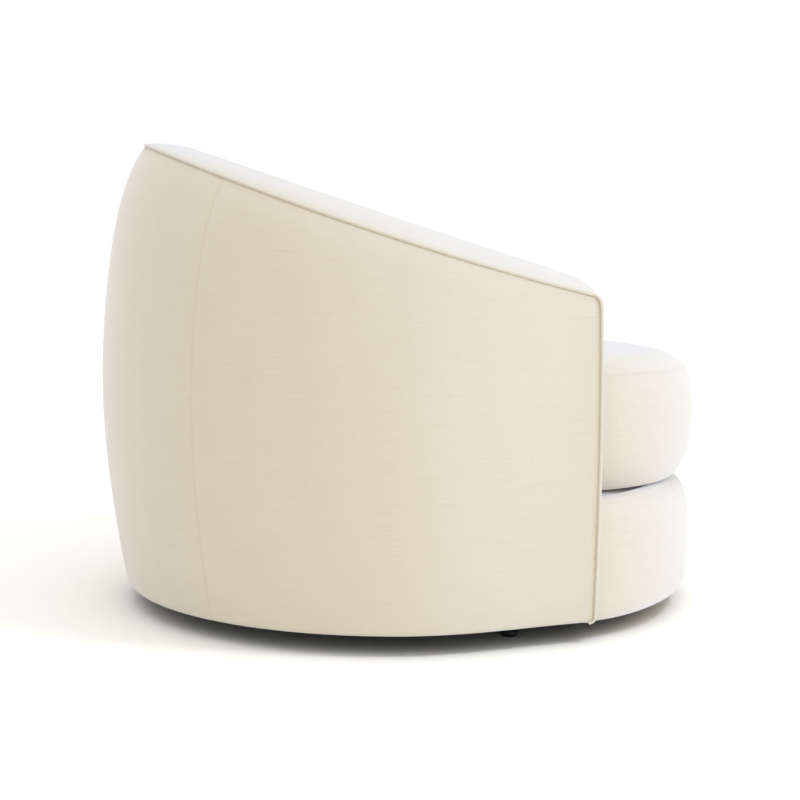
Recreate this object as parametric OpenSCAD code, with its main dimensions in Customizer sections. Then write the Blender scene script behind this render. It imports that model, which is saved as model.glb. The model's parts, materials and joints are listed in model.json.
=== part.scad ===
// Swivel barrel chair: a round, upholstered shell with a slanted rim, a loose crowned
// seat cushion and a full-width rounded base, turning on a ball-bearing swivel.
// Frame: +Z up, origin on the floor under the swivel axis, chair front toward -Y.

/* [Shell outline] */
// Radius of the round shell at its widest height
shell_r = 487; // [460:1:520]
// Height above the floor at which the shell is widest
widest_z = 340; // [300:1:380]
// How far the outside draws in from the widest height to the bottom edge
bottom_inset = 35; // [10:1:60]
// Height of the shell's bottom edge above the floor
shell_z = 30; // [28:1:40]
// Height of the rim's outer edge at the back
rim_back_z = 742; // [700:1:790]
// Height of the rim's outer edge at the side
rim_side_z = 585; // [560:1:620]
// Height of the rim's outer edge at the arm fronts
rim_front_z = 504; // [490:1:530]
// How far the outside draws in toward the rim round the back
back_shoulder = 75; // [60:1:84]
// How far the outside draws in toward the rim at the arm fronts
arm_shoulder = 12; // [4:1:30]
// How far the seat reaches in front of the arm fronts
front_reach = 202; // [190:1:225]
// How far the arms flatten inside the full circle along their length
arm_flatten = 40; // [20:1:50]
// How far the arm fronts flare back out
arm_flare = 62; // [40:1:70]
// Radius of the arm's upper front corner, seen from the side
arm_corner_r = 24; // [18:1:34]

/* [Inside of the shell] */
// Distance from the outside at its widest to the inside back
shell_depth = 145; // [139:1:151]
// How far each inside arm comes in from the back's radius to the arm front
inside_taper = 39; // [20:1:50]
// Height of the rim's inner edge at the back
inner_back_z = 735; // [700:1:790]
// Height of the rim's inner edge at the side
inner_side_z = 609; // [575:1:640]
// Height of the rim's inner edge at the arm fronts
inner_front_z = 518; // [495:1:540]

/* [Upholstery] */
// Thickness of the padded outside panels
panel_t = 12; // [8:1:12]
// Thickness of the inside pads
pad_t = 35; // [25:1:35]
// How far the inside pads puff out between their edges
pad_puff = 6; // [0:1:6]
// Thickness of the border strip at its inner edge
border_t = 12; // [8:1:14]
// Thickness of the border strip at its outer edge
border_edge_t = 4; // [2:0.5:4.5]
// Height of the border strip's crown
border_crown = 8; // [3:1:12]
// Radius of the welt along the outer edge
welt_r = 4; // [3:0.5:5]
// Gap between the welt and what it lies beside
welt_gap = 0.6; // [0.5:0.1:1]
// Plan angle from the back centre to each seam between back and side
seam_a = 53; // [45:1:60]
// Height of the soft roll at the bottom edge of the outside panels
hem_h = 9; // [5:1:12]
// How far that roll turns in
hem_in = 3; // [2:0.5:4]

/* [Seat cushion] */
// Height of the deck that the cushion lies on
deck_z = 206; // [200:1:212]
// Height of the seam where the boxing meets the top panel
boxing_z = 382; // [360:1:390]
// Height of the cushion's widest line
cushion_wide_z = 305; // [290:1:320]
// How far the cushion draws in from the widest line to its bottom edge
cushion_under = 29; // [15:1:35]
// How far the cushion draws in from the widest line to the boxing seam
cushion_over = 11; // [5:1:16]
// Height of the cushion's rolled top edge above the seam
roll_h = 30; // [20:1:34]
// Width over which the rolled top edge turns in
roll_w = 20; // [14:1:26]
// Height of the cushion's shallow dome above the roll
dome_h = 20; // [8:1:26]
// Clearance between the cushion and the inside of the shell
cushion_clear = 4; // [3:1:10]
// Depth of the sewn boxing seam
seam_depth = 2; // [1:0.5:3]

/* [Base front] */
// How far the base front stands back from the cushion's front
base_back = 2; // [0:1:12]
// Height of the base front's bottom edge above the floor
base_z = 27; // [26:1:38]
// Gap between the plywood rings and the base front pad
base_gap = 4; // [2:1:6]
// How far the base front draws in where it meets the arm fronts
base_end_in = 24; // [0:1:30]

/* [Frame] */
// Thickness of the plywood rings and rails
ply_t = 18; // [15:1:18]
// Gap between the plywood rings and the outside panels at the bottom edge
ring_gap = 8; // [7:1:12]
// Width of the bottom ring
bottom_ring_w = 37; // [32:1:40]
// Height of the bottom ring's underside
bottom_ring_z = 39; // [39:0.5:42]
// Width of the seat ring
seat_ring_w = 127; // [120:1:137]
// Height of the seat ring's underside
seat_ring_z = 168; // [160:1:168]
// Width of the frame's posts
post_w = 40; // [30:1:44]
// Width of each cross rail over the swivel
rail_w = 60; // [50:1:66]
// Height of each cross rail
rail_h = 38; // [30:1:45]

/* [Seat springs] */
// Wire diameter of the zigzag springs
wire_d = 3.6; // [3:0.1:4]
// Distance between a spring's neighbouring runs
spring_pitch = 24; // [24:1:30]
// Width of a zigzag spring
spring_w = 50; // [46:1:56]

/* [Swivel] */
// How far each glide's centre is inside the plywood rings' edge
glide_inset = 64; // [60:1:92]
// Plan angle of the first leg from the chair's back
leg_a = 63; // [50:1:75]
// Width of each leg of the cross
leg_w = 32; // [26:1:36]
// Height of each leg's tube
leg_h = 18; // [16:1:18]
// Wall of each leg's tube
leg_wall = 2; // [1.5:0.5:3]
// Radius of each glide
glide_foot_r = 14; // [11:1:15]
// Height of the legs' underside above the floor
leg_z = 16; // [14:1:16]
// Radius of the hub plate
hub_r = 110; // [104:1:116]
// Thickness of the hub plate and of the top plate
plate_t = 4; // [3:0.5:4]
// Radius of the circle that the bearing balls run on
ball_pitch_r = 85; // [80:1:88]
// Radius of each bearing ball
ball_r = 5; // [4.5:0.25:5]
// Number of bearing balls
ball_n = 24; // [12:1:30]
// Width of each bearing race
race_w = 20; // [16:1:22]
// Height of each bearing race
race_h = 4.5; // [4:0.25:4.5]
// Depth of the groove in each race
groove_depth = 2; // [1.5:0.25:2.5]
// Radius of the king pin
pin_r = 10; // [8:0.5:12]
// Side of the square top plate
top_plate_w = 210; // [200:1:220]
// Distance between neighbouring bolts of the top plate
bolt_spacing = 160; // [156:1:164]
// Radius of each plate bolt
bolt_r = 4; // [3:0.5:5]

/* [Fits] */
// Gap between parts that lie against each other
seat_gap = 0.3; // [0.2:0.1:0.4]
// Running clearance of the king pin and of the balls
run_clear = 0.05; // [0.02:0.01:0.08]
// Clearance of the bolts in their holes
bolt_clear = 0.5; // [0.3:0.1:0.8]

/* [Hidden] */

fabric_colour = [0.93, 0.89, 0.80];
seam_colour = [0.88, 0.83, 0.73];
ply_colour = [0.80, 0.66, 0.46];
beech_colour = [0.76, 0.58, 0.38];
steel_colour = [0.72, 0.73, 0.75];
black_colour = [0.06, 0.06, 0.06];

// One overrun serves every cut.
cut = 2;
// Radii that follow from the shell
arm_front = shell_r - front_reach;
inside_r = shell_r - shell_depth;
ring_r = shell_r - bottom_inset - panel_t - ring_gap;
bottom_ring_in_r = ring_r - bottom_ring_w;
seat_ring_in_r = ring_r - seat_ring_w;
base_r = shell_r - base_back;
base_in_r = ring_r + base_gap;
glide_r = ring_r - glide_inset;
quarter_a = 90;
half_a = 2*quarter_a;
wire_fn = 24;
ball_fn = 32;
bore_fn = 64;
round_fn = 96;

// Shares of the outside's draw-in that follow a slow and a fast curve
slow_share = 0.7;
fast_share = 0.3;
slow_power = 2;
fast_power = 8;
under_power = 1.7;
crown_power = 0.6;
// Rows of the outside from bottom to rim, and of the inside pads
panel_row_shares = [0.1, 0.24, 0.38, 0.52, 0.66, 0.78, 0.87, 0.93, 0.97, 1];
pad_row_shares = [0, 0.06, 0.2, 0.45, 0.7, 0.92, 1];
// Places across the border strip from its outer to its inner edge
border_shares = [0, 0.12, 0.32, 0.55, 0.8, 0.94, 1];
// Places along the arm from the side to the front
arm_shares = [0.16, 0.32, 0.48, 0.63, 0.77];
arm_end_shares = [0, 0.3, 0.6, 0.85, 1];
corner_steps = 5;
back_steps = 14;
side_steps = 4;
front_steps = 4;
welt_sides = 8;

function clamp01(t) = max(0, min(1, t));
function mix(a, b, t) = a + (b - a)*t;
function unit(v) = v/norm(v);
// Height on the curve through the back, side and front heights of a rim
function three_point(y, back_y, back_z, side_z, front_z) =
  let (curve = ((back_z - side_z)/back_y + (front_z - side_z)/arm_front)/(back_y + arm_front),
       slope = (back_z - side_z)/back_y - curve*back_y)
  side_z + slope*y + curve*y*y;
function rim_z(y) = three_point(y, shell_r - back_shoulder, rim_back_z, rim_side_z, rim_front_z);
function inner_rim_z(y) = three_point(y, inside_r, inner_back_z, inner_side_z, inner_front_z);

// A place p round the shell is a plan angle from the back centre up to 90, and from there
// to 180 it runs forward along the arm, in even steps of distance.
function along(p) = max(0, (p - quarter_a)/quarter_a);
function shoulder_at(p) =
  mix(back_shoulder, arm_shoulder, sin(quarter_a*clamp01((p - seam_a)/(half_a - seam_a))));
function rim_r(p) = shell_r - shoulder_at(p);
function rim_y(p) = p <= quarter_a ? rim_r(p)*cos(p) : -arm_front*along(p);
function outer_r(p, z) =
  let (t = (z - widest_z)/(rim_z(rim_y(p)) - widest_z),
       hem = clamp01(1 - (z - shell_z)/hem_h))
  z < widest_z
    ? shell_r - bottom_inset*pow((widest_z - z)/(widest_z - shell_z), under_power) - hem_in*hem*hem
    : shell_r - shoulder_at(p)*(slow_share*pow(t, slow_power) + fast_share*pow(t, fast_power));
function wall_xy(r, p) =
  let (q = along(p), y = -arm_front*q)
  p <= quarter_a
    ? [r*sin(p), r*cos(p)]
    : [sqrt(r*r - y*y) - arm_flatten*q*q + arm_flare*pow(q, 4), y];
// Point on the outside at place p and height z, set in by a depth
function outer_pt(p, z, depth) =
  let (s = sign(p), c = wall_xy(outer_r(abs(p), z) - depth, abs(p)))
  [(s < 0 ? -c[0] : c[0]), c[1], z];
// Point on the inside at place p and height z, pushed out behind the face by a depth
function inner_pt(p, z, depth) =
  let (a = abs(p), q = along(a), s = p < 0 ? -1 : 1)
  a <= quarter_a
    ? [s*(inside_r + depth)*sin(a), (inside_r + depth)*cos(a), z]
    : [s*(inside_r + depth - inside_taper*q*q), -arm_front*q, z];
// Height of a rim lowered by an inset, rolling over at the arm's upper front corner
function corner_top(y, top, inset) =
  let (r = arm_corner_r - inset, back = y + arm_front - arm_corner_r)
  back >= 0 ? top - inset : top - arm_corner_r + sqrt(max(0, r*r - back*back));
function place_at_y(y) = quarter_a - quarter_a*y/arm_front;

// Matching outer and inner points of the rim, by place, by corner angle and down the front
function rim_pair(p) =
  let (a = abs(p), yo = rim_y(a), yi = a <= quarter_a ? inside_r*cos(a) : yo)
  [outer_pt(p, rim_z(yo), 0), inner_pt(p, inner_rim_z(yi), 0)];
function corner_pair(turn) =
  let (y = -arm_front + arm_corner_r*(1 - sin(turn)),
       p = place_at_y(y),
       drop = arm_corner_r*(1 - cos(turn)),
       outer = outer_pt(p, rim_z(y) - drop, 0),
       inner = inner_pt(p, inner_rim_z(y) - drop, 0))
  [outer, inner];
// Below the deck the arm front narrows, clear of the rings behind the base front.
flat_z = deck_z + border_t;
tuck_z = seat_ring_z + ply_t + border_edge_t;
tuck_x = sqrt(pow(ring_r, 2) - pow(arm_front - border_t, 2)) + 4*seat_gap
  - (inside_r - inside_taper);
function tuck_at(z) = tuck_x*clamp01((flat_z - z)/(flat_z - tuck_z));
front_top_z = inner_rim_z(-arm_front) - arm_corner_r;
function front_pair(share) =
  let (zo = mix(rim_z(-arm_front) - arm_corner_r, shell_z, share),
       zi = mix(front_top_z, shell_z, share))
  [outer_pt(half_a, zo, 0), inner_pt(half_a, zi, tuck_at(zi))];
// A station holds the outer point, the inner point, the outward normal and the run's direction
function station(before, here, after) =
  let (d = unit(after[0] - before[0]), n = unit(cross(here[1] - here[0], d)))
  [here[0], here[1], n, d];
turn_step = 0.5;
share_step = 0.01;
function rim_station(p) = station(rim_pair(p - turn_step), rim_pair(p), rim_pair(p + turn_step));
function corner_station(t) =
  station(corner_pair(t - turn_step), corner_pair(t), corner_pair(t + turn_step));
function front_station(s) =
  station(front_pair(s - share_step), front_pair(s), front_pair(s + share_step));

front_heights = concat(
  [for (i = [1:front_steps]) mix(front_top_z, flat_z, i/front_steps)],
  [tuck_z, (tuck_z + shell_z)/2, shell_z + hem_h, shell_z]);
back_places = [for (i = [0:back_steps]) mix(-seam_a, seam_a, i/back_steps)];
corner_start = place_at_y(-arm_front + arm_corner_r);
side_places = concat(
  [for (i = [0:side_steps]) mix(seam_a, quarter_a, i/side_steps)],
  [for (s = arm_shares) quarter_a + quarter_a*s]);
back_stations = [for (p = back_places) rim_station(p)];
side_stations = concat(
  [for (p = side_places) rim_station(p)],
  [for (i = [0:corner_steps]) corner_station(quarter_a*i/corner_steps)],
  [for (z = front_heights) front_station((front_top_z - z)/(front_top_z - shell_z))]);

// The welt's seam keeps the panels and the border clear of it.
edge_inset = welt_r + welt_gap;
function border_swell(w) = pow(max(0, 4*w*(1 - w)), crown_power);
function border_depth(w) = mix(border_edge_t, border_t, w*w);
// The crown dies out behind the base front, where the arm front is flat.
function crown_at(z) = border_crown*clamp01((z - flat_z)/(arm_corner_r*2));
function border_point(st, w, depth) =
  let (span = norm(st[1] - st[0]), start = edge_inset/span, v = mix(start, 1, w),
       here = mix(st[0], st[1], v))
  here + st[2]*(crown_at(here[2])*border_swell(v) - depth);
// Height of the border strip's underside at a rim place
function under_border(p, w) =
  let (pair = rim_pair(p)) mix(pair[0][2], pair[1][2], w) - border_depth(w);

// Lofts through closed rings; each ring runs right-handed about the loft's direction.
function ring_faces(n, m) =
  [for (i = [0:n - 2]) for (j = [0:m - 1]) for (half = [0, 1])
    let (a = i*m + j, b = i*m + (j + 1) % m, c = a + m, d = b + m)
    half == 0 ? [a, c, d] : [a, d, b]];
module strip_loft(sections) {
  n = len(sections);
  k = len(sections[0][0]);
  m = 2*k;
  last = (n - 1)*m;
  points = [for (s = sections) each concat(s[0], [for (j = [k - 1:-1:0]) s[1][j]])];
  caps = [for (j = [0:k - 2]) each
    let (o = j, o2 = j + 1, i2 = m - 2 - j, i = m - 1 - j)
    [[o, o2, i2], [o, i2, i], [last + i2, last + o2, last + o], [last + i, last + i2, last + o]]];
  polyhedron(points, concat(ring_faces(n, m), caps), convexity = 8);
}
module ring_loft(rings, start_point, end_point) {
  n = len(rings);
  m = len(rings[0]);
  first = n*m;
  end = first + 1;
  points = concat([for (r = rings) each r], [start_point, end_point]);
  caps = [for (j = [0:m - 1]) each
    let (k = (j + 1) % m)
    [[first, j, k], [end, (n - 1)*m + k, (n - 1)*m + j]]];
  polyhedron(points, concat(ring_faces(n, m), caps), convexity = 8);
}
module both_sides() {
  children();
  mirror([1, 0, 0]) children();
}

// Outside panels
function panel_rows(top) =
  concat([shell_z, shell_z + hem_h/3, shell_z + hem_h],
         [for (v = panel_row_shares) mix(shell_z, top, v)]);
function panel_section(p, y) =
  let (rows = panel_rows(corner_top(y, rim_z(y), edge_inset)))
  [[for (z = rows) outer_pt(p, z, 0)], [for (z = rows) outer_pt(p, z, panel_t)]];
arm_panel_end = -arm_front + edge_inset + 4*seat_gap;
arm_panel_places = concat(
  [for (i = [0:side_steps*2]) mix(seam_a, quarter_a, i/(side_steps*2))],
  [for (s = arm_shares) quarter_a + quarter_a*s],
  [for (s = arm_end_shares)
    place_at_y(mix(-arm_front + arm_corner_r, arm_panel_end, s))]);
module outside_back_panel() {
  strip_loft([for (i = [0:back_steps*2])
    let (p = mix(-seam_a, seam_a, i/(back_steps*2))) panel_section(p, rim_y(abs(p)))]);
}
module outside_arm_panel() {
  strip_loft([for (p = arm_panel_places) panel_section(p, rim_y(p))]);
}

// Inside pads stand on the seat ring and end under the border strip.
pad_z = seat_ring_z + ply_t + seat_gap;
rim_clear = seat_gap*4;
pad_back_share = 0.35;
function pad_top(p, y, w) = corner_top(y, under_border(p, w) + border_t, border_t) - rim_clear;
function pad_place(p) =
  let (y = rim_y(abs(p)), face_top = pad_top(p, p > quarter_a ? y : inside_r*cos(p), 1),
       back_top = min(pad_top(p, y, 1 - pad_back_share), pad_top(p, y, 1)))
  [[for (v = pad_row_shares) inner_pt(p, mix(pad_z, back_top, v), pad_t)],
   [for (v = pad_row_shares) inner_pt(p, mix(pad_z, face_top, v), -pad_puff*sin(half_a*v))]];
arm_pad_end = -arm_front + border_t + rim_clear;
arm_pad_places = concat(
  [for (i = [0:side_steps]) mix(seam_a, quarter_a, i/side_steps)],
  [for (s = arm_shares) quarter_a + quarter_a*s],
  [for (s = arm_end_shares)
    place_at_y(mix(-arm_front + arm_corner_r, arm_pad_end, s))]);
module inside_back_pad() {
  strip_loft([for (p = back_places) pad_place(p)]);
}
module inside_arm_pad() {
  strip_loft([for (p = arm_pad_places) pad_place(p)]);
}

// Border strip along the top of the shell and down the arm fronts
function border_section(st) =
  [[for (w = border_shares) border_point(st, w, 0)],
   [for (w = border_shares) border_point(st, w, border_depth(w))]];
module border_strip(stations) {
  strip_loft([for (st = stations) border_section(st)]);
}

// Welt from the foot of one arm front, over the rim, to the foot of the other
function welt_ring(st) =
  let (across = cross(st[3], st[2]))
  [for (k = [0:welt_sides - 1])
    let (turn = 360*k/welt_sides)
    st[0] + welt_r*(cos(turn)*across - sin(turn)*st[2])];
function flip(st) =
  [[-st[0][0], st[0][1], st[0][2]], [-st[1][0], st[1][1], st[1][2]],
   [-st[2][0], st[2][1], st[2][2]], [st[3][0], -st[3][1], -st[3][2]]];
module welt() {
  n = len(side_stations);
  left = [for (i = [n - 1:-1:1]) flip(side_stations[i])];
  right = [for (i = [1:n - 1]) side_stations[i]];
  path = concat(left, back_stations, right);
  color(seam_colour)
    ring_loft([for (st = path) welt_ring(st)], path[0][0], path[len(path) - 1][0]);
}

module outside_back() {
  color(fabric_colour) outside_back_panel();
}
module outside_arm_left() {
  color(fabric_colour) outside_arm_panel();
}
module outside_arm_right() {
  color(fabric_colour) mirror([1, 0, 0]) outside_arm_panel();
}
module inside_back() {
  color(fabric_colour) inside_back_pad();
}
module inside_arm_left() {
  color(fabric_colour) inside_arm_pad();
}
module inside_arm_right() {
  color(fabric_colour) mirror([1, 0, 0]) inside_arm_pad();
}
module border_back() {
  color(fabric_colour) border_strip(back_stations);
}
module border_left() {
  color(fabric_colour) border_strip(side_stations);
}
module border_right() {
  color(fabric_colour) mirror([1, 0, 0]) border_strip(side_stations);
}

// Seat cushion: a round back, arms that follow the shell's inside, and a round front
cushion_steps = 10;
front_arc_steps = 11;
cushion_back_r = inside_r - pad_puff - cushion_clear;
cushion_side_x = cushion_back_r - inside_taper;
front_centre =
  (shell_r*shell_r - cushion_side_x*cushion_side_x - arm_front*arm_front)/(2*(shell_r - arm_front));
front_arc_r = shell_r - front_centre;
front_arc_a = atan2(cushion_side_x, arm_front - front_centre);
cushion_mid_y = (cushion_back_r - shell_r)/2;
function cushion_half(in) = concat(
  [for (i = [0:cushion_steps - 1])
    let (a = quarter_a*i/cushion_steps)
    [(cushion_back_r - in)*sin(a), (cushion_back_r - in)*cos(a)]],
  [for (i = [0:side_steps])
    let (q = i/(side_steps + 1))
    [cushion_back_r - in - inside_taper*q*q, -arm_front*q]],
  [for (i = [0:front_arc_steps - 1])
    let (a = front_arc_a*(1 - i/front_arc_steps))
    [(front_arc_r - in)*sin(a), -front_centre - (front_arc_r - in)*cos(a)]]);
function cushion_loop(in, z) =
  let (half = cushion_half(in), n = len(half), front = -front_centre - front_arc_r + in)
  concat([for (i = [0:n - 1]) [-half[i][0], half[i][1], z]],
         [[0, front, z]],
         [for (i = [n - 1:-1:1]) [half[i][0], half[i][1], z]]);
function cushion_top_z(d, reach) =
  boxing_z + roll_h*(1 - exp(-d/roll_w)) + dome_h*sin(quarter_a*d/reach);
under_shares = [0, 0.06, 0.2, 0.42, 0.7, 1];
over_shares = [0.35, 0.7, 0.95];
roll_shares = [0.012, 0.045, 0.1, 0.18, 0.3, 0.5, 0.75];
cushion_foot = deck_z + seat_gap;
foot_flat_share = 1.8;
foot_flat = cushion_under*foot_flat_share;
module seat_cushion() {
  reach = cushion_back_r - cushion_over;
  under = [for (t = under_shares)
    [cushion_under*pow(1 - t, 3), mix(cushion_foot, cushion_wide_z, t)]];
  over = [for (t = over_shares)
    [cushion_over*pow(t, 3), mix(cushion_wide_z, boxing_z, t)]];
  seam = [[cushion_over + seam_depth, boxing_z]];
  roll = [for (t = roll_shares) let (d = reach*t) [cushion_over + d, cushion_top_z(d, reach)]];
  rings = [for (r = concat([[foot_flat, cushion_foot]], under, over, seam, roll))
    cushion_loop(r[0], r[1])];
  color(fabric_colour)
    ring_loft(rings, [0, cushion_mid_y, cushion_foot],
              [0, -front_centre/2, cushion_top_z(reach, reach)]);
}
zip_w = 6;
zip_t = 1.2;
zip_a = 38;
module cushion_zip() {
  zip_z = cushion_wide_z;
  inner = cushion_back_r + seat_gap;
  color(seam_colour) translate([0, 0, zip_z - zip_w/2]) rotate([0, 0, quarter_a - zip_a])
    rotate_extrude(angle = zip_a*2, $fn = round_fn) translate([inner, 0]) square([zip_t, zip_w]);
}

// Base front: a full-width rounded pad against the arm fronts
base_end_power = 5;
base_top_z = deck_z;
// Each pair is a share of the pad's height and how far the face is drawn in, as a share.
base_inset_shares = [[0, 0.39], [0.025, 0.22], [0.07, 0.1], [0.15, 0.05], [0.29, 0.02], [0.5, 0],
  [0.66, 0.02], [0.8, 0.08], [0.87, 0.15], [0.935, 0.3], [0.975, 0.48], [1, 0.75]];
base_pad_t = base_r - base_in_r;
// Toward its ends the pad's top edge is fuller, by this share.
base_fill_share = 0.6;
base_top_share = 0.7;
function base_inset(s, t) =
  s[0] > base_top_share ? s[1]*(1 - base_fill_share*t*t) : s[1];
base_steps = 24;
module base_front_pad() {
  steps = base_steps;
  end_y = arm_front + seat_gap*2;
  function spot(out, share, t) =
    let (r = base_in_r + out, a = half_a - acos(end_y/r)*t)
    [r*sin(a), r*cos(a), mix(base_z, base_top_z, share)];
  color(fabric_colour) strip_loft([for (i = [0:steps])
    let (t = 1 - 2*i/steps, full = base_pad_t - base_end_in*pow(abs(t), base_end_power))
    [[for (s = base_inset_shares) spot(full*(1 - base_inset(s, t)), s[0], t)],
     [for (s = base_inset_shares) spot(0, s[0], t)]]]);
}
clip_t = 1.2;
// Deck pad over the springs, between the inside pads and the base front
deck_under_z = seat_ring_z + ply_t + clip_t + wire_d + seat_gap;
deck_steps = 12;
module deck_pad() {
  edge = cushion_back_r;
  front_r = base_in_r - 3*seat_gap;
  front_a = asin((edge - inside_taper)/front_r);
  side = concat(
    [for (i = [0:deck_steps - 1]) let (a = quarter_a*i/deck_steps) [edge*sin(a), edge*cos(a)]],
    [for (i = [0:side_steps + 1]) let (q = i/(side_steps + 1))
      [edge - inside_taper*q*q, -arm_front*q]],
    [for (i = [0:deck_steps - 1]) let (a = front_a*(1 - i/deck_steps))
      [front_r*sin(a), -front_r*cos(a)]]);
  n = len(side);
  outline = concat(side, [[0, -front_r]], [for (i = [n - 1:-1:1]) [-side[i][0], side[i][1]]]);
  color(seam_colour) translate([0, 0, deck_under_z])
    linear_extrude(deck_z - deck_under_z) polygon(outline);
}

// Frame
module bottom_ring() {
  color(ply_colour) ring(ring_r, bottom_ring_in_r, bottom_ring_z, ply_t);
}
module seat_ring() {
  color(ply_colour) ring(ring_r, seat_ring_in_r, seat_ring_z, ply_t);
}
module ring(outer, inner, z, h) {
  translate([0, 0, z]) rotate_extrude($fn = round_fn)
    translate([inner, 0]) square([outer - inner, h]);
}
lower_post_z = bottom_ring_z + ply_t;
lower_post_h = seat_ring_z - lower_post_z;
lower_post_n = 8;
module lower_posts() {
  reach = sqrt(ring_r*ring_r - post_w*post_w/4);
  for (k = [0:lower_post_n - 1])
    let (a = 360*(k + 1/2)/lower_post_n)
      if (abs(a - half_a) > front_rail_a)
        color(beech_colour) rotate([0, 0, -a])
          translate([-post_w/2, bottom_ring_in_r, lower_post_z])
            cube([post_w, reach - bottom_ring_in_r, lower_post_h]);
}
front_rail_a = acos((arm_front + seat_gap)/(ring_r - ply_t));
front_rail_t = ply_t;
module front_rail() {
  color(ply_colour) translate([0, 0, lower_post_z]) rotate([0, 0, -quarter_a - front_rail_a])
    rotate_extrude(angle = 2*front_rail_a, $fn = round_fn)
      translate([ring_r - front_rail_t, 0]) square([front_rail_t, lower_post_h]);
}
rail_x = bolt_spacing/2;
rail_reach_r = ring_r - front_rail_t - seat_gap;
rail_edge_x = rail_x + rail_w/2;
rail_half = sqrt(rail_reach_r*rail_reach_r - rail_edge_x*rail_edge_x);
rail_top_z = lower_post_z + rail_h;
module cross_rails() {
  for (s = [-1, 1])
    color(beech_colour) difference() {
      translate([s*rail_x - rail_w/2, -rail_half, lower_post_z])
        cube([rail_w, 2*rail_half, rail_h]);
      for (t = [-1, 1])
        translate([s*rail_x, t*rail_x, lower_post_z - cut])
          cylinder(h = rail_h + 2*cut, r = bolt_r + bolt_clear, $fn = bore_fn);
    }
}
// Top rail: slanted plywood under the border strip, between the panels and the pads
rail_clear = seat_gap*4;
top_rail_end = 0.9;
top_rail_places = concat(
  [for (i = [0:side_steps*4]) quarter_a*i/(side_steps*4)],
  [for (s = arm_shares) quarter_a + quarter_a*s], [quarter_a + quarter_a*top_rail_end]);
function top_rail_section(p) =
  let (z1 = rim_z(rim_y(abs(p))) - edge_inset - rail_clear, z0 = z1 - ply_t,
       back = outer_pt(p, z1, panel_t + rail_clear), face = inner_pt(p, z1, pad_t + rail_clear))
  [[[back[0], back[1], z0], [back[0], back[1], z1]],
   [[face[0], face[1], z0], [face[0], face[1], z1]]];
module top_rail() {
  n = len(top_rail_places);
  places = concat([for (i = [n - 1:-1:1]) -top_rail_places[i]], top_rail_places);
  color(ply_colour) strip_loft([for (p = places) top_rail_section(p)]);
}
// Upper posts between the seat ring and the top rail
upper_post_t = 17;
upper_post_shares = [-0.79, -0.62, -0.43, -0.22, 0, 0.22, 0.43, 0.62, 0.79];
module upper_posts() {
  z = seat_ring_z + ply_t;
  for (share = upper_post_shares)
    let (p = half_a*share, a = abs(p), on_arm = a > quarter_a, spread = post_w/2,
         step = on_arm ? quarter_a*spread/arm_front : asin(spread/(inside_r + pad_t)),
         foot = inner_pt(p, z, pad_t + rail_clear),
         widest = inner_pt(on_arm ? sign(p)*(a - step) : p, z, pad_t + rail_clear),
         turn = on_arm ? sign(p)*quarter_a : p,
         top = rim_z(rim_y(a + step)) - edge_inset - rail_clear - ply_t - 2*seat_gap)
      color(beech_colour) translate([widest[0], foot[1], z]) rotate([0, 0, -turn])
        translate([-spread, 0, 0]) cube([post_w, upper_post_t, top - z]);
}
board_t = ply_t;
board_w = 36;
module arm_front_boards() {
  top = rim_z(-arm_front + border_t + board_t) - arm_corner_r - ply_t;
  y = -arm_front + border_t + rim_clear;
  x = max(sqrt(ring_r*ring_r - pow(y + board_t, 2)), inside_r - inside_taper + pad_t) + seat_gap;
  color(ply_colour) both_sides()
    translate([x, y, seat_ring_z]) cube([board_w, board_t, top - seat_ring_z]);
}

// Zigzag seat springs run from front to back, clipped to the seat ring.
spring_n = 5;
// The outer springs' distance from the middle, as a share of the inside back's radius
spring_spread_share = 0.655;
spring_gap = 2*inside_r*spring_spread_share/(spring_n - 1);
clip_w = 14;
clip_l = 18;
spring_z = seat_ring_z + ply_t + clip_t + wire_d/2;
spring_reach_r = inside_r - clip_l/2 - 10*seat_gap;
function spring_half(x) =
  let (far = abs(x) + spring_w/2) sqrt(spring_reach_r*spring_reach_r - far*far);
function spring_runs(x) = floor(2*spring_half(x)/spring_pitch) + 1;
spring_x = [for (k = [0:spring_n - 1]) (k - (spring_n - 1)/2)*spring_gap];
module zigzag(runs) {
  bend = spring_pitch/2;
  straight = spring_w - spring_pitch;
  for (k = [0:runs - 1]) {
    y = (k - (runs - 1)/2)*spring_pitch;
    side = k % 2 == 0 ? 1 : -1;
    translate([-straight/2, y, 0]) rotate([0, quarter_a, 0])
      cylinder(h = straight, d = wire_d, $fn = wire_fn);
    if (k < runs - 1)
      translate([side*straight/2, y + bend, 0]) rotate([0, 0, -side*quarter_a])
        rotate_extrude(angle = half_a, $fn = bore_fn) translate([bend, 0])
          circle(d = wire_d, $fn = wire_fn);
  }
}
module zigzag_springs() {
  for (x = spring_x)
    color(steel_colour) translate([x, 0, spring_z]) zigzag(spring_runs(x));
}
module spring_clips() {
  z = seat_ring_z + ply_t;
  for (x = spring_x) for (s = [-1, 1])
    let (y = s*((spring_runs(x) - 1)/2*spring_pitch))
      color(steel_colour) translate([x - clip_w/2, y - clip_l/2, z]) cube([clip_w, clip_l, clip_t]);
}
dust_t = 1;
dust_hole_r = hub_r + race_w;
module dust_cover() {
  color(black_colour) ring(ring_r, dust_hole_r, bottom_ring_z - dust_t, dust_t);
}

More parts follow.
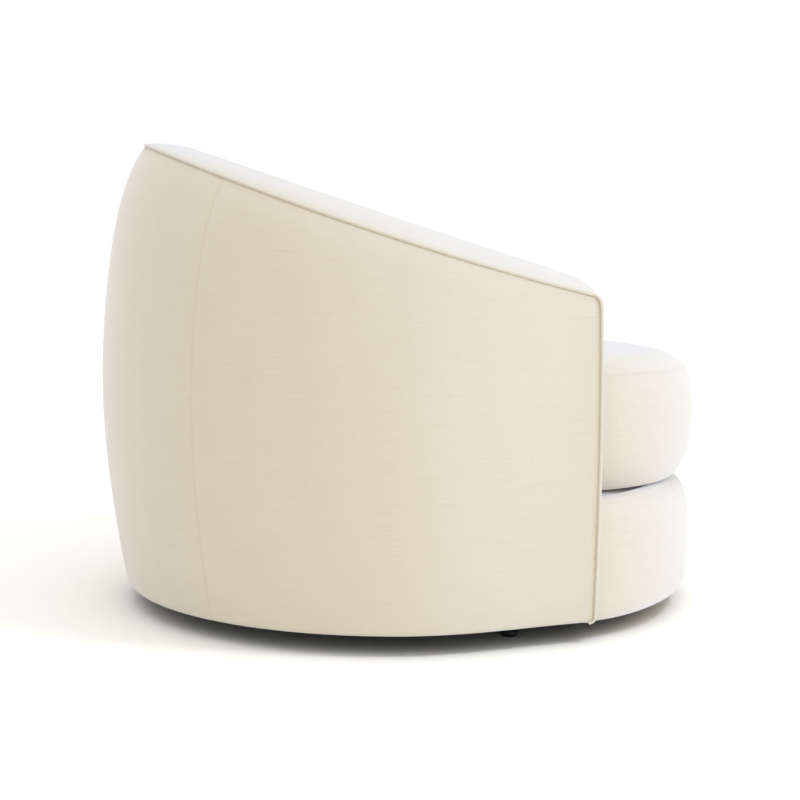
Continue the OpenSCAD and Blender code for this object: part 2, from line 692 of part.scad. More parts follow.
// Swivel: a four-legged steel cross carries the lower race; the chair turns on the balls.
leg_n = 4;
leg_top_z = leg_z + leg_h;
leg_end_r = glide_r + leg_w/2;
hub_top_z = leg_top_z + plate_t;
lower_race_top = hub_top_z + race_h;
ball_z = lower_race_top - groove_depth + ball_r;
upper_race_z = ball_z + ball_r - groove_depth;
top_plate_z = upper_race_z + race_h;
groove_r = ball_r + run_clear;
glide_h = 6;
stem_r = glide_foot_r/2;
stem_clear = bolt_clear;
cap_t = 2;
module legs_at(reach) {
  for (k = [0:leg_n - 1]) rotate([0, 0, -leg_a - 360*k/leg_n]) translate([0, reach, 0]) children();
}
module base_cross() {
  hole = stem_r + stem_clear;
  color(black_colour) difference() {
    for (k = [0:leg_n/2 - 1]) rotate([0, 0, -leg_a - 360*k/leg_n])
      translate([-leg_w/2, -leg_end_r, leg_z]) cube([leg_w, 2*leg_end_r, leg_h]);
    for (k = [0:leg_n - 1]) rotate([0, 0, -leg_a - 360*k/leg_n])
      translate([-leg_w/2 + leg_wall, hub_r, leg_z + leg_wall])
        cube([leg_w - 2*leg_wall, leg_end_r, leg_h - 2*leg_wall]);
    legs_at(glide_r) translate([0, 0, leg_z - cut])
      cylinder(h = leg_wall + 2*cut, r = hole, $fn = bore_fn);
  }
}
module leg_end_caps() {
  color(black_colour) legs_at(leg_end_r)
    translate([-leg_w/2, 0, leg_z]) cube([leg_w, cap_t, leg_h]);
}
// Domed glides with a flat foot and a stem in the leg's lower wall
glide_flat_share = 0.7;
module glides() {
  top = leg_z;
  flat = glide_foot_r*glide_flat_share;
  color(black_colour) legs_at(glide_r) {
    rotate_extrude($fn = bore_fn) polygon([[0, 0], [flat, 0], [glide_foot_r, glide_h],
      [glide_foot_r, glide_h + cap_t], [stem_r, top], [0, top]]);
    translate([0, 0, top]) cylinder(h = leg_wall + cap_t, r = stem_r, $fn = bore_fn);
  }
}
module hub_plate() {
  color(black_colour) translate([0, 0, leg_top_z]) difference() {
    cylinder(h = plate_t, r = hub_r, $fn = round_fn);
    translate([0, 0, -cut]) cylinder(h = plate_t + 2*cut, r = pin_r, $fn = bore_fn);
  }
}
bush_wall = 2;
bush_flange_r = pin_r*2;
bush_flange_t = 2.5;
bush_z = top_plate_z - bush_wall;
bush_top = top_plate_z + plate_t + bush_flange_t;
washer_t = 2.5;
washer_z = bush_top + seat_gap;
nut_h = 9;
pin_nut_share = 1.7;
nut_z = washer_z + washer_t;
pin_top = nut_z + nut_h + cap_t;
module king_pin() {
  color(steel_colour) translate([0, 0, leg_top_z])
    cylinder(h = pin_top - leg_top_z, r = pin_r, $fn = bore_fn);
}
module race_ring(z, groove_z) {
  translate([0, 0, z]) difference() {
    rotate_extrude($fn = round_fn)
      translate([ball_pitch_r - race_w/2, 0]) square([race_w, race_h]);
    translate([0, 0, groove_z - z]) rotate_extrude($fn = round_fn)
      translate([ball_pitch_r, 0]) circle(r = groove_r, $fn = bore_fn);
  }
}
module lower_race() {
  color(steel_colour) race_ring(hub_top_z, ball_z);
}
module upper_race() {
  color(steel_colour) race_ring(upper_race_z, ball_z);
}
module bearing_balls() {
  for (k = [0:ball_n - 1])
    color(steel_colour) rotate([0, 0, 360*k/ball_n]) translate([ball_pitch_r, 0, ball_z])
      sphere(r = ball_r, $fn = ball_fn);
}
cage_t = 2;
cage_w = race_w - ball_r/2;
module ball_cage_ring() {
  color(beech_colour) difference() {
    translate([0, 0, ball_z - cage_t/2]) rotate_extrude($fn = round_fn)
      translate([ball_pitch_r - cage_w/2, 0]) square([cage_w, cage_t]);
    for (k = [0:ball_n - 1])
      rotate([0, 0, 360*k/ball_n]) translate([ball_pitch_r, 0, ball_z - cage_t/2 - cut])
        cylinder(h = cage_t + 2*cut, r = ball_r + run_clear*4, $fn = ball_fn);
  }
}
module plate_corners() {
  for (s = [-1, 1]) for (t = [-1, 1]) translate([s*rail_x, t*rail_x, 0]) children();
}
module top_plate() {
  color(steel_colour) difference() {
    translate([-top_plate_w/2, -top_plate_w/2, top_plate_z])
      cube([top_plate_w, top_plate_w, lower_post_z - top_plate_z]);
    translate([0, 0, top_plate_z - cut])
      cylinder(h = plate_t + 2*cut, r = pin_r + bush_wall, $fn = bore_fn);
    plate_corners() translate([0, 0, top_plate_z - cut])
      cylinder(h = plate_t + 2*cut, r = bolt_r + bolt_clear, $fn = bore_fn);
  }
}
module pivot_bushing() {
  color(beech_colour) difference() {
    union() {
      translate([0, 0, bush_z])
        cylinder(h = bush_top - bush_z, r = pin_r + bush_wall, $fn = bore_fn);
      translate([0, 0, top_plate_z + plate_t])
        cylinder(h = bush_flange_t, r = bush_flange_r, $fn = bore_fn);
    }
    translate([0, 0, bush_z - cut])
      cylinder(h = bush_top - bush_z + 2*cut, r = pin_r + run_clear, $fn = bore_fn);
  }
}
module pin_washer() {
  color(steel_colour) translate([0, 0, washer_z]) difference() {
    cylinder(h = washer_t, r = bush_flange_r, $fn = bore_fn);
    translate([0, 0, -cut]) cylinder(h = washer_t + 2*cut, r = pin_r, $fn = bore_fn);
  }
}
module hex_nut(across, h, bore) {
  difference() {
    cylinder(h = h, r = across, $fn = 6);
    translate([0, 0, -cut]) cylinder(h = h + 2*cut, r = bore, $fn = bore_fn);
  }
}
module pin_nut() {
  color(steel_colour) translate([0, 0, nut_z]) hex_nut(pin_r*pin_nut_share, nut_h, pin_r);
}
bolt_head_share = 1.75;
bolt_height_share = 1.2;
plate_nut_share = 1.6;
bolt_head_r = bolt_r*bolt_head_share;
bolt_head_h = bolt_r*bolt_height_share;
plate_nut_h = bolt_r*plate_nut_share;
bolt_end = cap_t*2;
module plate_bolts() {
  color(steel_colour) plate_corners() {
    translate([0, 0, top_plate_z - bolt_head_h])
      cylinder(h = bolt_head_h, r = bolt_head_r, $fn = 6);
    translate([0, 0, top_plate_z])
      cylinder(h = rail_top_z + plate_nut_h + bolt_end - top_plate_z, r = bolt_r, $fn = bore_fn);
  }
}
module plate_nuts() {
  color(steel_colour) plate_corners() translate([0, 0, rail_top_z])
    hex_nut(bolt_head_r, plate_nut_h, bolt_r);
}

base_cross();
leg_end_caps();
glides();
hub_plate();
king_pin();
lower_race();
bearing_balls();
ball_cage_ring();
upper_race();
top_plate();
pivot_bushing();
pin_washer();
pin_nut();
plate_bolts();
plate_nuts();
cross_rails();
bottom_ring();
lower_posts();
front_rail();
seat_ring();
upper_posts();
arm_front_boards();
top_rail();
zigzag_springs();
spring_clips();
deck_pad();
dust_cover();
base_front_pad();
outside_back();
outside_arm_left();
outside_arm_right();
inside_back();
inside_arm_left();
inside_arm_right();
border_back();
border_left();
border_right();
welt();
seat_cushion();
cushion_zip();
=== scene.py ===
import json
import math
import bpy
import numpy as np
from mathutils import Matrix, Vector
from mathutils.kdtree import KDTree


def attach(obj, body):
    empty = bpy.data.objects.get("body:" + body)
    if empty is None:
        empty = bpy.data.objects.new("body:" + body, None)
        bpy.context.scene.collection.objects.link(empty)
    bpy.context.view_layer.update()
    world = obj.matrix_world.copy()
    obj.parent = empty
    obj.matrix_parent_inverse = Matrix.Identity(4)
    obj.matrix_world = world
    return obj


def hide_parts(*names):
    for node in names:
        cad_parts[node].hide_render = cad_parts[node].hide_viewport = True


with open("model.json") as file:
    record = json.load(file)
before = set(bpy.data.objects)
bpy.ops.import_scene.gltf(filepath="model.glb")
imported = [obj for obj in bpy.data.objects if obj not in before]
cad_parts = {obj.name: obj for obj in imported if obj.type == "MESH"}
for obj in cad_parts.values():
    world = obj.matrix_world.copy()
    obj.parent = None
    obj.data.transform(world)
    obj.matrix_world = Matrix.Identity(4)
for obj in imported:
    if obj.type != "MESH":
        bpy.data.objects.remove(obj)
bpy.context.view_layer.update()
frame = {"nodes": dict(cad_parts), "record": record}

MM = 0.001

# The chair's named sizes, in millimetres. Most are those of the part's source. These were fitted
# to the photo again and differ from it: ARM_FRONT, CORNER_R, INNER_SIDE_Z, INNER_FRONT_Z,
# INNER_CORNER_R, the border's crowns, WELT_R, HEM_H, HEM_IN, ROLL_H, ROLL_W and DOME_H. FOOT_R,
# the roll at the foot of the arm's front, isn't in the source.
SHELL_R, WIDEST_Z, BOTTOM_INSET, SHELL_Z = 487.0, 340.0, 35.0, 30.0
RIM_BACK_Z, RIM_SIDE_Z, RIM_FRONT_Z = 742.0, 585.0, 504.0
BACK_SHOULDER, ARM_SHOULDER = 75.0, 12.0
ARM_FRONT, ARM_FLATTEN, ARM_FLARE, CORNER_R = 287.0, 40.0, 62.0, 13.0
INSIDE_R, INSIDE_TAPER = 342.0, 39.0
INNER_BACK_Z, INNER_SIDE_Z, INNER_FRONT_Z = 735.0, 614.0, 522.0
SEAM_A = 53.0
PANEL_T, PAD_T, PAD_PUFF = 12.0, 35.0, 6.0
BORDER_T, BORDER_EDGE_T, BACK_CROWN, SIDE_CROWN = 12.0, 4.0, 5.0, 6.5
INNER_CORNER_R, FOOT_R, FRONT_CROWN = 32.0, 9.0, 4.5
WELT_R = 2.4
# The hem at the shell's foot: its height and how far it is drawn in
HEM_H, HEM_IN = 10.0, 5.0
# The panels' clearance under the rim and behind the arm's front edge, and the mesh's sharp angle
PANEL_GAP, SHARP_A = 1.0, math.radians(55)
DECK_Z, RING_R, PAD_Z = 206.0, 432.0, 187.0
BASE_R, BASE_IN_R, BASE_Z, BASE_END_IN = 485.0, 436.0, 27.0, 24.0
BOXING_Z, CUSHION_WIDE_Z, CUSHION_UNDER, CUSHION_OVER = 382.0, 305.0, 29.0, 11.0
ROLL_H, ROLL_W, DOME_H, CUSHION_CLEAR = 27.5, 22.0, 17.0, 4.0


def sind(a):
    return np.sin(np.radians(a))


def cosd(a):
    return np.cos(np.radians(a))


def mix(a, b, t):
    return a + (b - a) * t


def clip01(t):
    return np.clip(t, 0.0, 1.0)


def fall(d, width):
    """1 at a seam, fading with the distance from it."""
    return np.exp(-np.abs(d) / width)


def unit(v):
    return v / np.maximum(1e-9, np.linalg.norm(v, axis=-1, keepdims=True))


def three_point(y, back_y, back_z, side_z, front_z):
    curve = ((back_z - side_z) / back_y + (front_z - side_z) / ARM_FRONT) / (back_y + ARM_FRONT)
    return side_z + ((back_z - side_z) / back_y - curve * back_y) * y + curve * y * y


def rim_z(y):
    return three_point(y, SHELL_R - BACK_SHOULDER, RIM_BACK_Z, RIM_SIDE_Z, RIM_FRONT_Z)


def inner_rim_z(y):
    return three_point(y, INSIDE_R, INNER_BACK_Z, INNER_SIDE_Z, INNER_FRONT_Z)


# A place p is a plan angle from the back centre up to 90, and from there to 180 it runs
# forward along the arm. Its sign is the side: minus is the side that the photo shows.
def along(p):
    return np.maximum(0.0, (np.abs(p) - 90.0) / 90.0)


def shoulder(p):
    return mix(BACK_SHOULDER, ARM_SHOULDER, sind(90.0 * clip01((np.abs(p) - SEAM_A) / (180.0 - SEAM_A))))


def rim_y(p):
    a = np.abs(p)
    return np.where(a <= 90.0, (SHELL_R - shoulder(a)) * cosd(a), -ARM_FRONT * along(a))


def outer_r(p, z):
    t = np.maximum(0.0, (z - WIDEST_Z) / (rim_z(rim_y(p)) - WIDEST_Z))
    low = np.maximum(0.0, (WIDEST_Z - z) / (WIDEST_Z - SHELL_Z))
    return np.where(z < WIDEST_Z, SHELL_R - BOTTOM_INSET * low**1.7,
                    SHELL_R - shoulder(p) * (0.7 * t**2 + 0.3 * t**8))


def hem_in(z):
    """How far the shell's lower edge is drawn in."""
    hem = clip01((SHELL_Z + HEM_H - z) / HEM_H)
    return HEM_IN * (1 - np.sqrt(1 - hem * hem))


def foot_roll(y, z):
    """How far the arm's lower front corner rolls back."""
    low = clip01((SHELL_Z + FOOT_R - z) / FOOT_R)
    return FOOT_R * (1 - np.sqrt(1 - low * low)) * clip01(1 - (y + ARM_FRONT) / (2 * FOOT_R))


def outer_pt(p, z, depth):
    p, z, depth = np.broadcast_arrays(p, z, depth)
    a, s, q = np.abs(p), np.where(p < 0, -1.0, 1.0), along(p)
    r = outer_r(p, z) - depth
    y = np.where(a <= 90.0, r * cosd(a), -ARM_FRONT * q)
    y = y + foot_roll(y, z)
    arm_x = np.sqrt(np.maximum(0.0, r * r - y * y)) - ARM_FLATTEN * q * q + ARM_FLARE * q**4
    return np.stack([s * np.where(a <= 90.0, r * sind(a), arm_x), y, z], -1)


def inner_pt(p, z, depth):
    p, z, depth = np.broadcast_arrays(p, z, depth)
    a, s, q = np.abs(p), np.where(p < 0, -1.0, 1.0), along(p)
    r = INSIDE_R + depth
    x = np.where(a <= 90.0, r * sind(a), r - INSIDE_TAPER * q * q)
    return np.stack([s * x, np.where(a <= 90.0, r * cosd(a), -ARM_FRONT * q), z], -1)


def corner_top(y, top, inset):
    """Height of a rim lowered by an inset, rolling over at the arm's upper front corner."""
    r, back = CORNER_R - inset, y + ARM_FRONT - CORNER_R
    roll = np.sqrt(np.maximum(0.0, r * r - back * back))
    return np.where(back >= 0, top - inset, top - CORNER_R + roll)


def place_at_y(y):
    return 90.0 - 90.0 * y / ARM_FRONT


def arc_u(p):
    """Distance round the shell to a place."""
    a = np.abs(p)
    arm_u = SHELL_R * math.pi / 2 + ARM_FRONT * along(a)
    return np.sign(p) * np.where(a <= 90.0, SHELL_R * np.radians(a), arm_u)


WAVES, WAVE_TURN = 7, 6.28


def wobble(u, v, seed, size):
    """Smooth uneven hand-made variation, the same in each run."""
    rng = np.random.default_rng(seed)
    total = 0.0
    for _ in range(WAVES):
        a, b = rng.normal(0, 1, 2) / size
        total = total + np.sin(a * u + b * v + rng.uniform(0, WAVE_TURN)) / WAVES
    return total


def new_mesh(name, points, faces, cloth, seam=None):
    """An object from points in millimetres, with its place on the cloth and its painted seam shade."""
    mesh = bpy.data.meshes.new(name)
    mesh.from_pydata((np.asarray(points, float) * MM).tolist(), [], faces)
    mesh.validate()
    mesh.shade_smooth()
    mesh.set_sharp_from_angle(angle=SHARP_A)
    a = mesh.attributes.new("cloth", "FLOAT_VECTOR", "POINT")
    a.data.foreach_set("vector", (np.asarray(cloth, float) * MM).astype(np.float32).ravel())
    # Painted shade for the cloth's colour, in the seams, in creases and under the rim.
    b = mesh.attributes.new("seam", "FLOAT", "POINT")
    shade_marks = np.zeros(len(points)) if seam is None else np.asarray(seam)
    b.data.foreach_set("value", shade_marks.astype(np.float32).ravel())
    obj = bpy.data.objects.new(name, mesh)
    bpy.context.scene.collection.objects.link(obj)
    return obj


def loft(name, rings, cloth, seam=None, closed=False, flip=False):
    """A closed skin through rings of points; its ends are capped unless it closes on itself."""
    n, m = rings.shape[:2]
    faces = []
    for i in range(n if closed else n - 1):
        a, b = i * m, (i + 1) % n * m
        for j in range(m):
            k = (j + 1) % m
            faces.append((a + j, b + j, b + k, a + k))
    if not closed:
        faces += [tuple(range(m)), tuple((n - 1) * m + j for j in range(m - 1, -1, -1))]
    if flip:
        faces = [f[::-1] for f in faces]
    shade_marks = None if seam is None else seam.ravel()
    return new_mesh(name, rings.reshape(-1, 3), faces, cloth.reshape(-1, 3), shade_marks)


def on_cloth(u, v):
    """The cloth's own places, from distances across and up it."""
    return np.stack(np.broadcast_arrays(u, v, 0 * v), -1)


def spaced(n, ease):
    """Shares from 0 to 1, closer together at both ends."""
    t = np.linspace(0, 1, n)
    return mix(t, (1 - np.cos(math.pi * t)) / 2, ease)


# ---- outside panels ----
PANEL_ROWS = 84
LIP = np.array([8.0, 7.0, 6.0, 5.0, 4.2, 3.5, 2.8, 2.1, 1.4, 0.7, 0.0])  # rows below the top


def outside_panel(name, p0, p1, columns, seams, front):
    """One outside panel between two places; a front panel's columns crowd toward the arm's corner."""
    rows = spaced(PANEL_ROWS, 0.6)
    p = mix(p0, p1, spaced(columns, 0.5))[:, None]
    if front:
        turn = 1 - np.sin(np.linspace(0, math.pi / 2, 22))
        steps = np.sign(p1) * place_at_y(-ARM_FRONT + PANEL_GAP + CORNER_R * turn)
        start = np.sign(p1) * place_at_y(-ARM_FRONT + PANEL_GAP + CORNER_R)
        p = np.concatenate([mix(p0, start, spaced(columns, 0.3))[:-1], steps])[:, None]
    y = rim_y(p)
    top = corner_top(y, rim_z(y), PANEL_GAP)
    z = np.concatenate([mix(SHELL_Z, top - LIP[0] - 1.0, rows[None, :]), top - LIP[None, :]], 1)
    u = arc_u(p)
    depth = 0.8 * fall(top - z, 1.4) + 1.0 * fall(top - z, 14.0)
    # Painted shade in a band just under the rim and along the seams, none at the arm's front edge
    seam = 0.5 * np.exp(-((top - z - 1.8) / 1.2) ** 2)
    for s in seams:
        d = u - arc_u(np.array(s))
        pucker = 1 + 0.35 * np.sin(z / 1.55 + 2.0 * wobble(z, 0, 3, 30.0))
        depth = depth + 0.45 * fall(d, 1.2) + 0.35 * pucker * fall(d, 6.0)
        seam = np.maximum(seam, 0.3 * fall(d, 0.9))
    if front:
        d = y + ARM_FRONT
        depth = depth + 0.2 * fall(d, 1.2) + 0.8 * clip01(1 - d / 17) ** 2 + 0.5 * clip01(1 - d / 45) ** 2
        seam = seam * clip01(d / 4)
    depth = depth + hem_in(z)
    depth = depth + 0.35 * wobble(u, z, 11, 60.0) * clip01((top - z) / 20)
    face = outer_pt(p, z, depth)
    inner_rows = np.array([1.0, 0.7, 0.35, 0.0])
    inner_z = mix(SHELL_Z + 1.0, top - 2.0, inner_rows[None, :])
    back = outer_pt(p, inner_z, PANEL_T + 0 * inner_z)
    rings = np.concatenate([face, back], 1)
    cloth = np.concatenate([on_cloth(u, z), on_cloth(u, inner_z)], 1)
    shade_marks = np.concatenate([np.broadcast_to(seam, z.shape), np.zeros(inner_z.shape)], 1)
    return loft(name, rings, cloth, shade_marks, flip=p1 < 0 or p0 < -1 and p1 > 0)


# ---- the rim's path, from one arm's foot over the back to the other's ----
SIDE_SEAM = 60  # stations from the middle to the seam at SEAM_A
TUCK_Z = 190.0  # where the border's inner edge is tucked in behind the base front


def inner_drop(y):
    """How far the inner rim rolls down toward the arm's front."""
    back = np.minimum(0, y + ARM_FRONT - INNER_CORNER_R)
    return INNER_CORNER_R - np.sqrt(INNER_CORNER_R**2 - back * back)


def rim_pairs():
    """Matching outer and inner points, and each one's place."""
    corner = place_at_y(-ARM_FRONT + CORNER_R)
    half_p = np.concatenate([np.linspace(0, SEAM_A, SIDE_SEAM + 1),
                             mix(SEAM_A, corner, np.linspace(0, 1, 71))[1:]])
    y_out = rim_y(half_p)
    y_in = np.where(half_p <= 90, INSIDE_R * cosd(half_p), y_out)
    outer = [outer_pt(half_p, rim_z(y_out), 0)]
    inner = [inner_pt(half_p, inner_rim_z(y_in) - inner_drop(y_in), 0)]
    turn = np.linspace(0, 90, 19)[1:]
    y = -ARM_FRONT + CORNER_R * (1 - sind(turn))
    drop = CORNER_R * (1 - cosd(turn))
    corner_p = place_at_y(y)
    outer.append(outer_pt(corner_p, rim_z(y) - drop, 0))
    inner.append(inner_pt(corner_p, inner_rim_z(y) - inner_drop(y), 0))
    front_top = INNER_FRONT_Z - INNER_CORNER_R
    flat = DECK_Z + BORDER_T
    runs = [(front_top, flat, 44), (flat, TUCK_Z, 8), (TUCK_Z, SHELL_Z + HEM_H, 20),
            (SHELL_Z + HEM_H, SHELL_Z, 6)]
    z_in = np.concatenate([np.linspace(*run)[1:] for run in runs])
    share = (front_top - z_in) / (front_top - SHELL_Z)
    z_out = mix(RIM_FRONT_Z - CORNER_R, SHELL_Z, share)
    tuck_x = math.sqrt(RING_R**2 - (ARM_FRONT - BORDER_T) ** 2) + 1.2 - (INSIDE_R - INSIDE_TAPER)
    front_p = np.full(share.shape, 180.0)
    outer.append(outer_pt(front_p, z_out, hem_in(z_out)))
    inner.append(inner_pt(front_p, z_in, tuck_x * clip01((flat - z_in) / (flat - TUCK_Z))))
    place = np.concatenate([half_p, corner_p, front_p])
    outer, inner = np.concatenate(outer), np.concatenate(inner)
    flip = np.array([-1.0, 1.0, 1.0])
    return (np.concatenate([outer[:0:-1] * flip, outer]), np.concatenate([inner[:0:-1] * flip, inner]),
            np.concatenate([-place[:0:-1], place]))


RIM_OUT, RIM_IN, RIM_P = rim_pairs()
RIM_D = unit(np.gradient(RIM_OUT, axis=0))
RIM_N = unit(np.cross(RIM_IN - RIM_OUT, RIM_D))
RIM_U = np.concatenate([[0], np.cumsum(np.linalg.norm(np.diff(RIM_OUT, axis=0), axis=1))])
MIDDLE = len(RIM_P) // 2


BORDER_FADE_H = 48.0  # the height over the deck in which the border's crown builds up


def border(name, first, last, seams):
    """One length of the border strip between two stations of the rim."""
    pick = slice(first, last + 1)
    o, i, n, u = RIM_OUT[pick], RIM_IN[pick], RIM_N[pick], RIM_U[pick]
    w = spaced(30, 0.7)[None, :, None]
    span = np.linalg.norm(i - o, axis=1)[:, None, None]
    across = unit(i - o)[:, None, :]
    v = mix(1.2 / span, 1.0, w)
    here = mix(o[:, None], i[:, None], v)
    a = np.abs(RIM_P[pick])
    side_share = clip01((a - 8.0) / 20.0)[:, None, None]
    crown = mix(BACK_CROWN, SIDE_CROWN, side_share * side_share * (3 - 2 * side_share))
    crown = mix(crown, FRONT_CROWN, clip01((a - 150.0) / 28.0)[:, None, None])
    crown = crown * clip01((here[..., 2:3] - DECK_Z - BORDER_T) / BORDER_FADE_H)
    swell = crown * np.maximum(0, 4 * v * (1 - v)) ** 0.6
    dip = 0.7 * fall(v * span, 2.0) + 0.6 * fall((1 - v) * span, 3.0)
    # Painted shade along the strip's outer edge by the piping, and faintly at the seams
    shade_marks = 0.2 * fall(v * span - 1.0, 1.6)
    for s in seams:
        d = (u - RIM_U[s])[:, None, None]
        dip = dip + 0.12 * fall(d, 1.2) + 0.12 * fall(d, 6.0)
        shade_marks = np.maximum(shade_marks, 0.05 * fall(d, 0.8) + 0 * v)
    dip = dip + 0.3 * wobble(u[:, None, None], v * span, 21, 45.0)
    top = here + n[:, None] * (swell - dip)
    side_depth = np.array([1.2, 3.5, 7.0, 10.0, 12.0])[None, :, None]
    side_out = np.array([0.9, 1.7, 1.8, 0.9, -1.0])[None, :, None]
    side = i[:, None] - n[:, None] * side_depth + across * side_out
    back_v = np.array([0.92, 0.6, 0.3, 0.06])[None, :, None]
    under = mix(o[:, None], i[:, None], back_v) - n[:, None] * mix(BORDER_EDGE_T, BORDER_T - 1, back_v**2)
    rings = np.concatenate([top, side, under], 1)
    lay = np.concatenate([v * span, span + side_depth + 0 * span, back_v * span], 1)
    cloth = np.concatenate([lay, np.broadcast_to(u[:, None, None], lay.shape), 0 * lay], 2)[..., [1, 0, 2]]
    seam = np.concatenate([shade_marks, 0 * (side_depth + span), 0 * (back_v + span)], 1)
    return loft(name, rings, cloth, seam)


def tube(name, centre, across, up, radius, sides, cloth_u, underside_shade):
    """A round tube along a path, with painted shade on the side turned away from up."""
    turn = np.linspace(0, 2 * math.pi, sides, endpoint=False)
    rings = centre[:, None] + radius[:, None, None] * (
        np.cos(turn)[None, :, None] * across[:, None] - np.sin(turn)[None, :, None] * up[:, None])
    cloth = np.stack(np.broadcast_arrays(cloth_u[:, None], turn[None] * radius.mean(), 0.0), -1)
    # Painted shade on the tube's underside
    seam = underside_shade[:, None] * clip01(np.sin(turn) - 0.3)[None]
    return loft(name, rings, cloth, seam)


# ---- inside pads ----
# Rows up a pad, and the length over which its columns crowd toward the arm's front
PAD_ROWS, PAD_TURN = 60, 16.0


def inside_pad(name, p0, p1, columns, seams, front):
    """One inside pad between two places, puffed out between its edges."""
    rows = spaced(PAD_ROWS, 0.7)
    p = mix(p0, p1, spaced(columns, 0.5))[:, None]
    if front:
        end = -ARM_FRONT + BORDER_T - 0.5
        turn = 1 - np.sin(np.linspace(0, math.pi / 2, 14))
        steps = np.sign(p1) * place_at_y(end + PAD_TURN * turn)
        p = np.concatenate([mix(p0, steps[0], spaced(columns, 0.3))[:-1], steps])[:, None]
    y = rim_y(p)
    y_in = np.where(np.abs(p) <= 90, INSIDE_R * cosd(p), y)
    top = corner_top(y_in, inner_rim_z(y_in), BORDER_T - 1.0)
    z = mix(PAD_Z, top, rows[None, :])
    u = arc_u(p)
    depth = -PAD_PUFF * sind(180 * rows[None, :]) ** 0.7
    depth = depth + 3.0 * fall(top - z, 5.0) + 1.4 * fall(z - DECK_Z, 6.0)
    # Painted shade in the crease under the border and along the seams
    seam = fall(top - z, 2.0)
    for s in seams:
        d = u - arc_u(np.array(s))
        depth = depth + 3.2 * fall(d, 2.4) + 1.6 * (1 + 0.3 * np.sin(z / 2.1)) * fall(d, 10.0)
        seam = np.maximum(seam, fall(d, 1.2))
    if front:
        d = y - (-ARM_FRONT + BORDER_T)
        depth = depth + 3.0 * fall(d, 4.0)
    depth = depth + 0.6 * wobble(u, z, 31, 55.0)
    face = inner_pt(p, z, depth)
    inner_rows = np.array([1.0, 0.5, 0.0])
    back_top = np.minimum(top - 6, rim_z(y) - 20)
    inner_z = mix(PAD_Z, back_top, inner_rows[None, :])
    back = inner_pt(p, inner_z, PAD_T - 1.0 + 0 * inner_z)
    rings = np.concatenate([face, back], 1)
    cloth = np.concatenate([on_cloth(u, z), on_cloth(u, inner_z)], 1)
    shade_marks = np.concatenate([np.broadcast_to(seam, z.shape), np.zeros(inner_z.shape)], 1)
    return loft(name, rings, cloth, shade_marks, flip=not (p1 < 0 or p0 < -1 and p1 > 0))


# ---- base front ----
# Shares of the height and of the pad's thickness at which its profile lies in
BASE_INSETS = np.array([[0, 0.39], [0.025, 0.22], [0.07, 0.1], [0.15, 0.05], [0.29, 0.02], [0.5, 0],
                        [0.66, 0.02], [0.8, 0.08], [0.87, 0.15], [0.935, 0.3], [0.975, 0.48], [1, 0.75]])
BASE_SEAM_SHARE = 0.968


def base_front(name):
    """The full-width rounded pad under the cushion, closed by its own back."""
    pad, top = BASE_R - BASE_IN_R, DECK_Z
    # Dense rows through the profile, closer together where it turns
    t = np.linspace(0, 1, 12)
    k = np.linspace(0, 1, 90)
    z_share, inset = np.interp(k, t, BASE_INSETS[:, 0]), np.interp(k, t, BASE_INSETS[:, 1])
    for _ in range(10):
        z_share[1:-1] = (z_share[:-2] + 2 * z_share[1:-1] + z_share[2:]) / 4
        inset[1:-1] = (inset[:-2] + 2 * inset[1:-1] + inset[2:]) / 4
    even = np.linspace(-1, 1, 200)
    s = np.sin(even * math.pi / 2) * 0.35 + even * 0.65
    z = mix(BASE_Z, top, z_share)[None, :]
    full = pad - BASE_END_IN * np.abs(s[:, None]) ** 5
    fuller = np.where(z_share[None, :] > 0.7, 1 - 0.6 * s[:, None] ** 2, 1.0)
    out = full * (1 - inset[None, :] * fuller)
    end = np.arccos((ARM_FRONT + 1.0) / (BASE_IN_R + out))
    a = math.pi - end * s[:, None]
    u = (BASE_IN_R + pad) * (math.pi - a)
    run = np.concatenate([[0], np.cumsum(np.hypot(np.diff(z[0]), np.diff(pad * inset)))])
    d = (run - np.interp(BASE_SEAM_SHARE, z_share, run))[None, :]
    dip = 0.5 * fall(d, 1.5) + 0.4 * fall(d, 8.0) + 0.4 * wobble(u, z, 41, 50.0)
    r = BASE_IN_R + out - dip
    face = np.stack([r * np.sin(a), r * np.cos(a), z + 0 * a], -1)
    shares = np.array([1.0, 0.7, 0.35, 0.0])
    back_z = mix(BASE_Z, top, shares)[None, :] + 0 * s[:, None]
    end_in = np.arccos((ARM_FRONT + 1.0) / BASE_IN_R)
    b = math.pi - end_in * s[:, None] + 0 * back_z
    back = np.stack([BASE_IN_R * np.sin(b), BASE_IN_R * np.cos(b), back_z], -1)
    rings = np.concatenate([face, back], 1)
    back_u = (BASE_IN_R + pad) * (math.pi - b)
    cloth = np.concatenate([np.stack([u, z + 0 * u, 0 * u], -1),
                            np.stack([back_u, back_z, 0 * b], -1)], 1)
    # Painted shade along the seam near the pad's top
    seam = np.concatenate([0.25 * fall(d, 1.1) + 0 * u, 0 * back_z], 1)
    return loft(name, rings, cloth, seam)


# ---- seat cushion ----
BACK_R = INSIDE_R - PAD_PUFF - CUSHION_CLEAR
SIDE_X = BACK_R - INSIDE_TAPER
REACH = SHELL_R + 4.5  # the source's cushion reaches forward to the shell's radius only
FRONT_Y = (REACH**2 - SIDE_X**2 - ARM_FRONT**2) / (2 * (REACH - ARM_FRONT))
FRONT_R = REACH - FRONT_Y
FRONT_A = math.atan2(SIDE_X, ARM_FRONT - FRONT_Y)
CUSHION_MID = np.array([0.0, (BACK_R - SHELL_R) / 2, 0.0])
LOW_Z, ARM_UNDER_SHARE = 210.0, 0.3
# The arms pinch the cushion where its outline meets their fronts
ARM_PINCH, PINCH_W, FRONT_EASE = 9.0, 13.0, 1.25
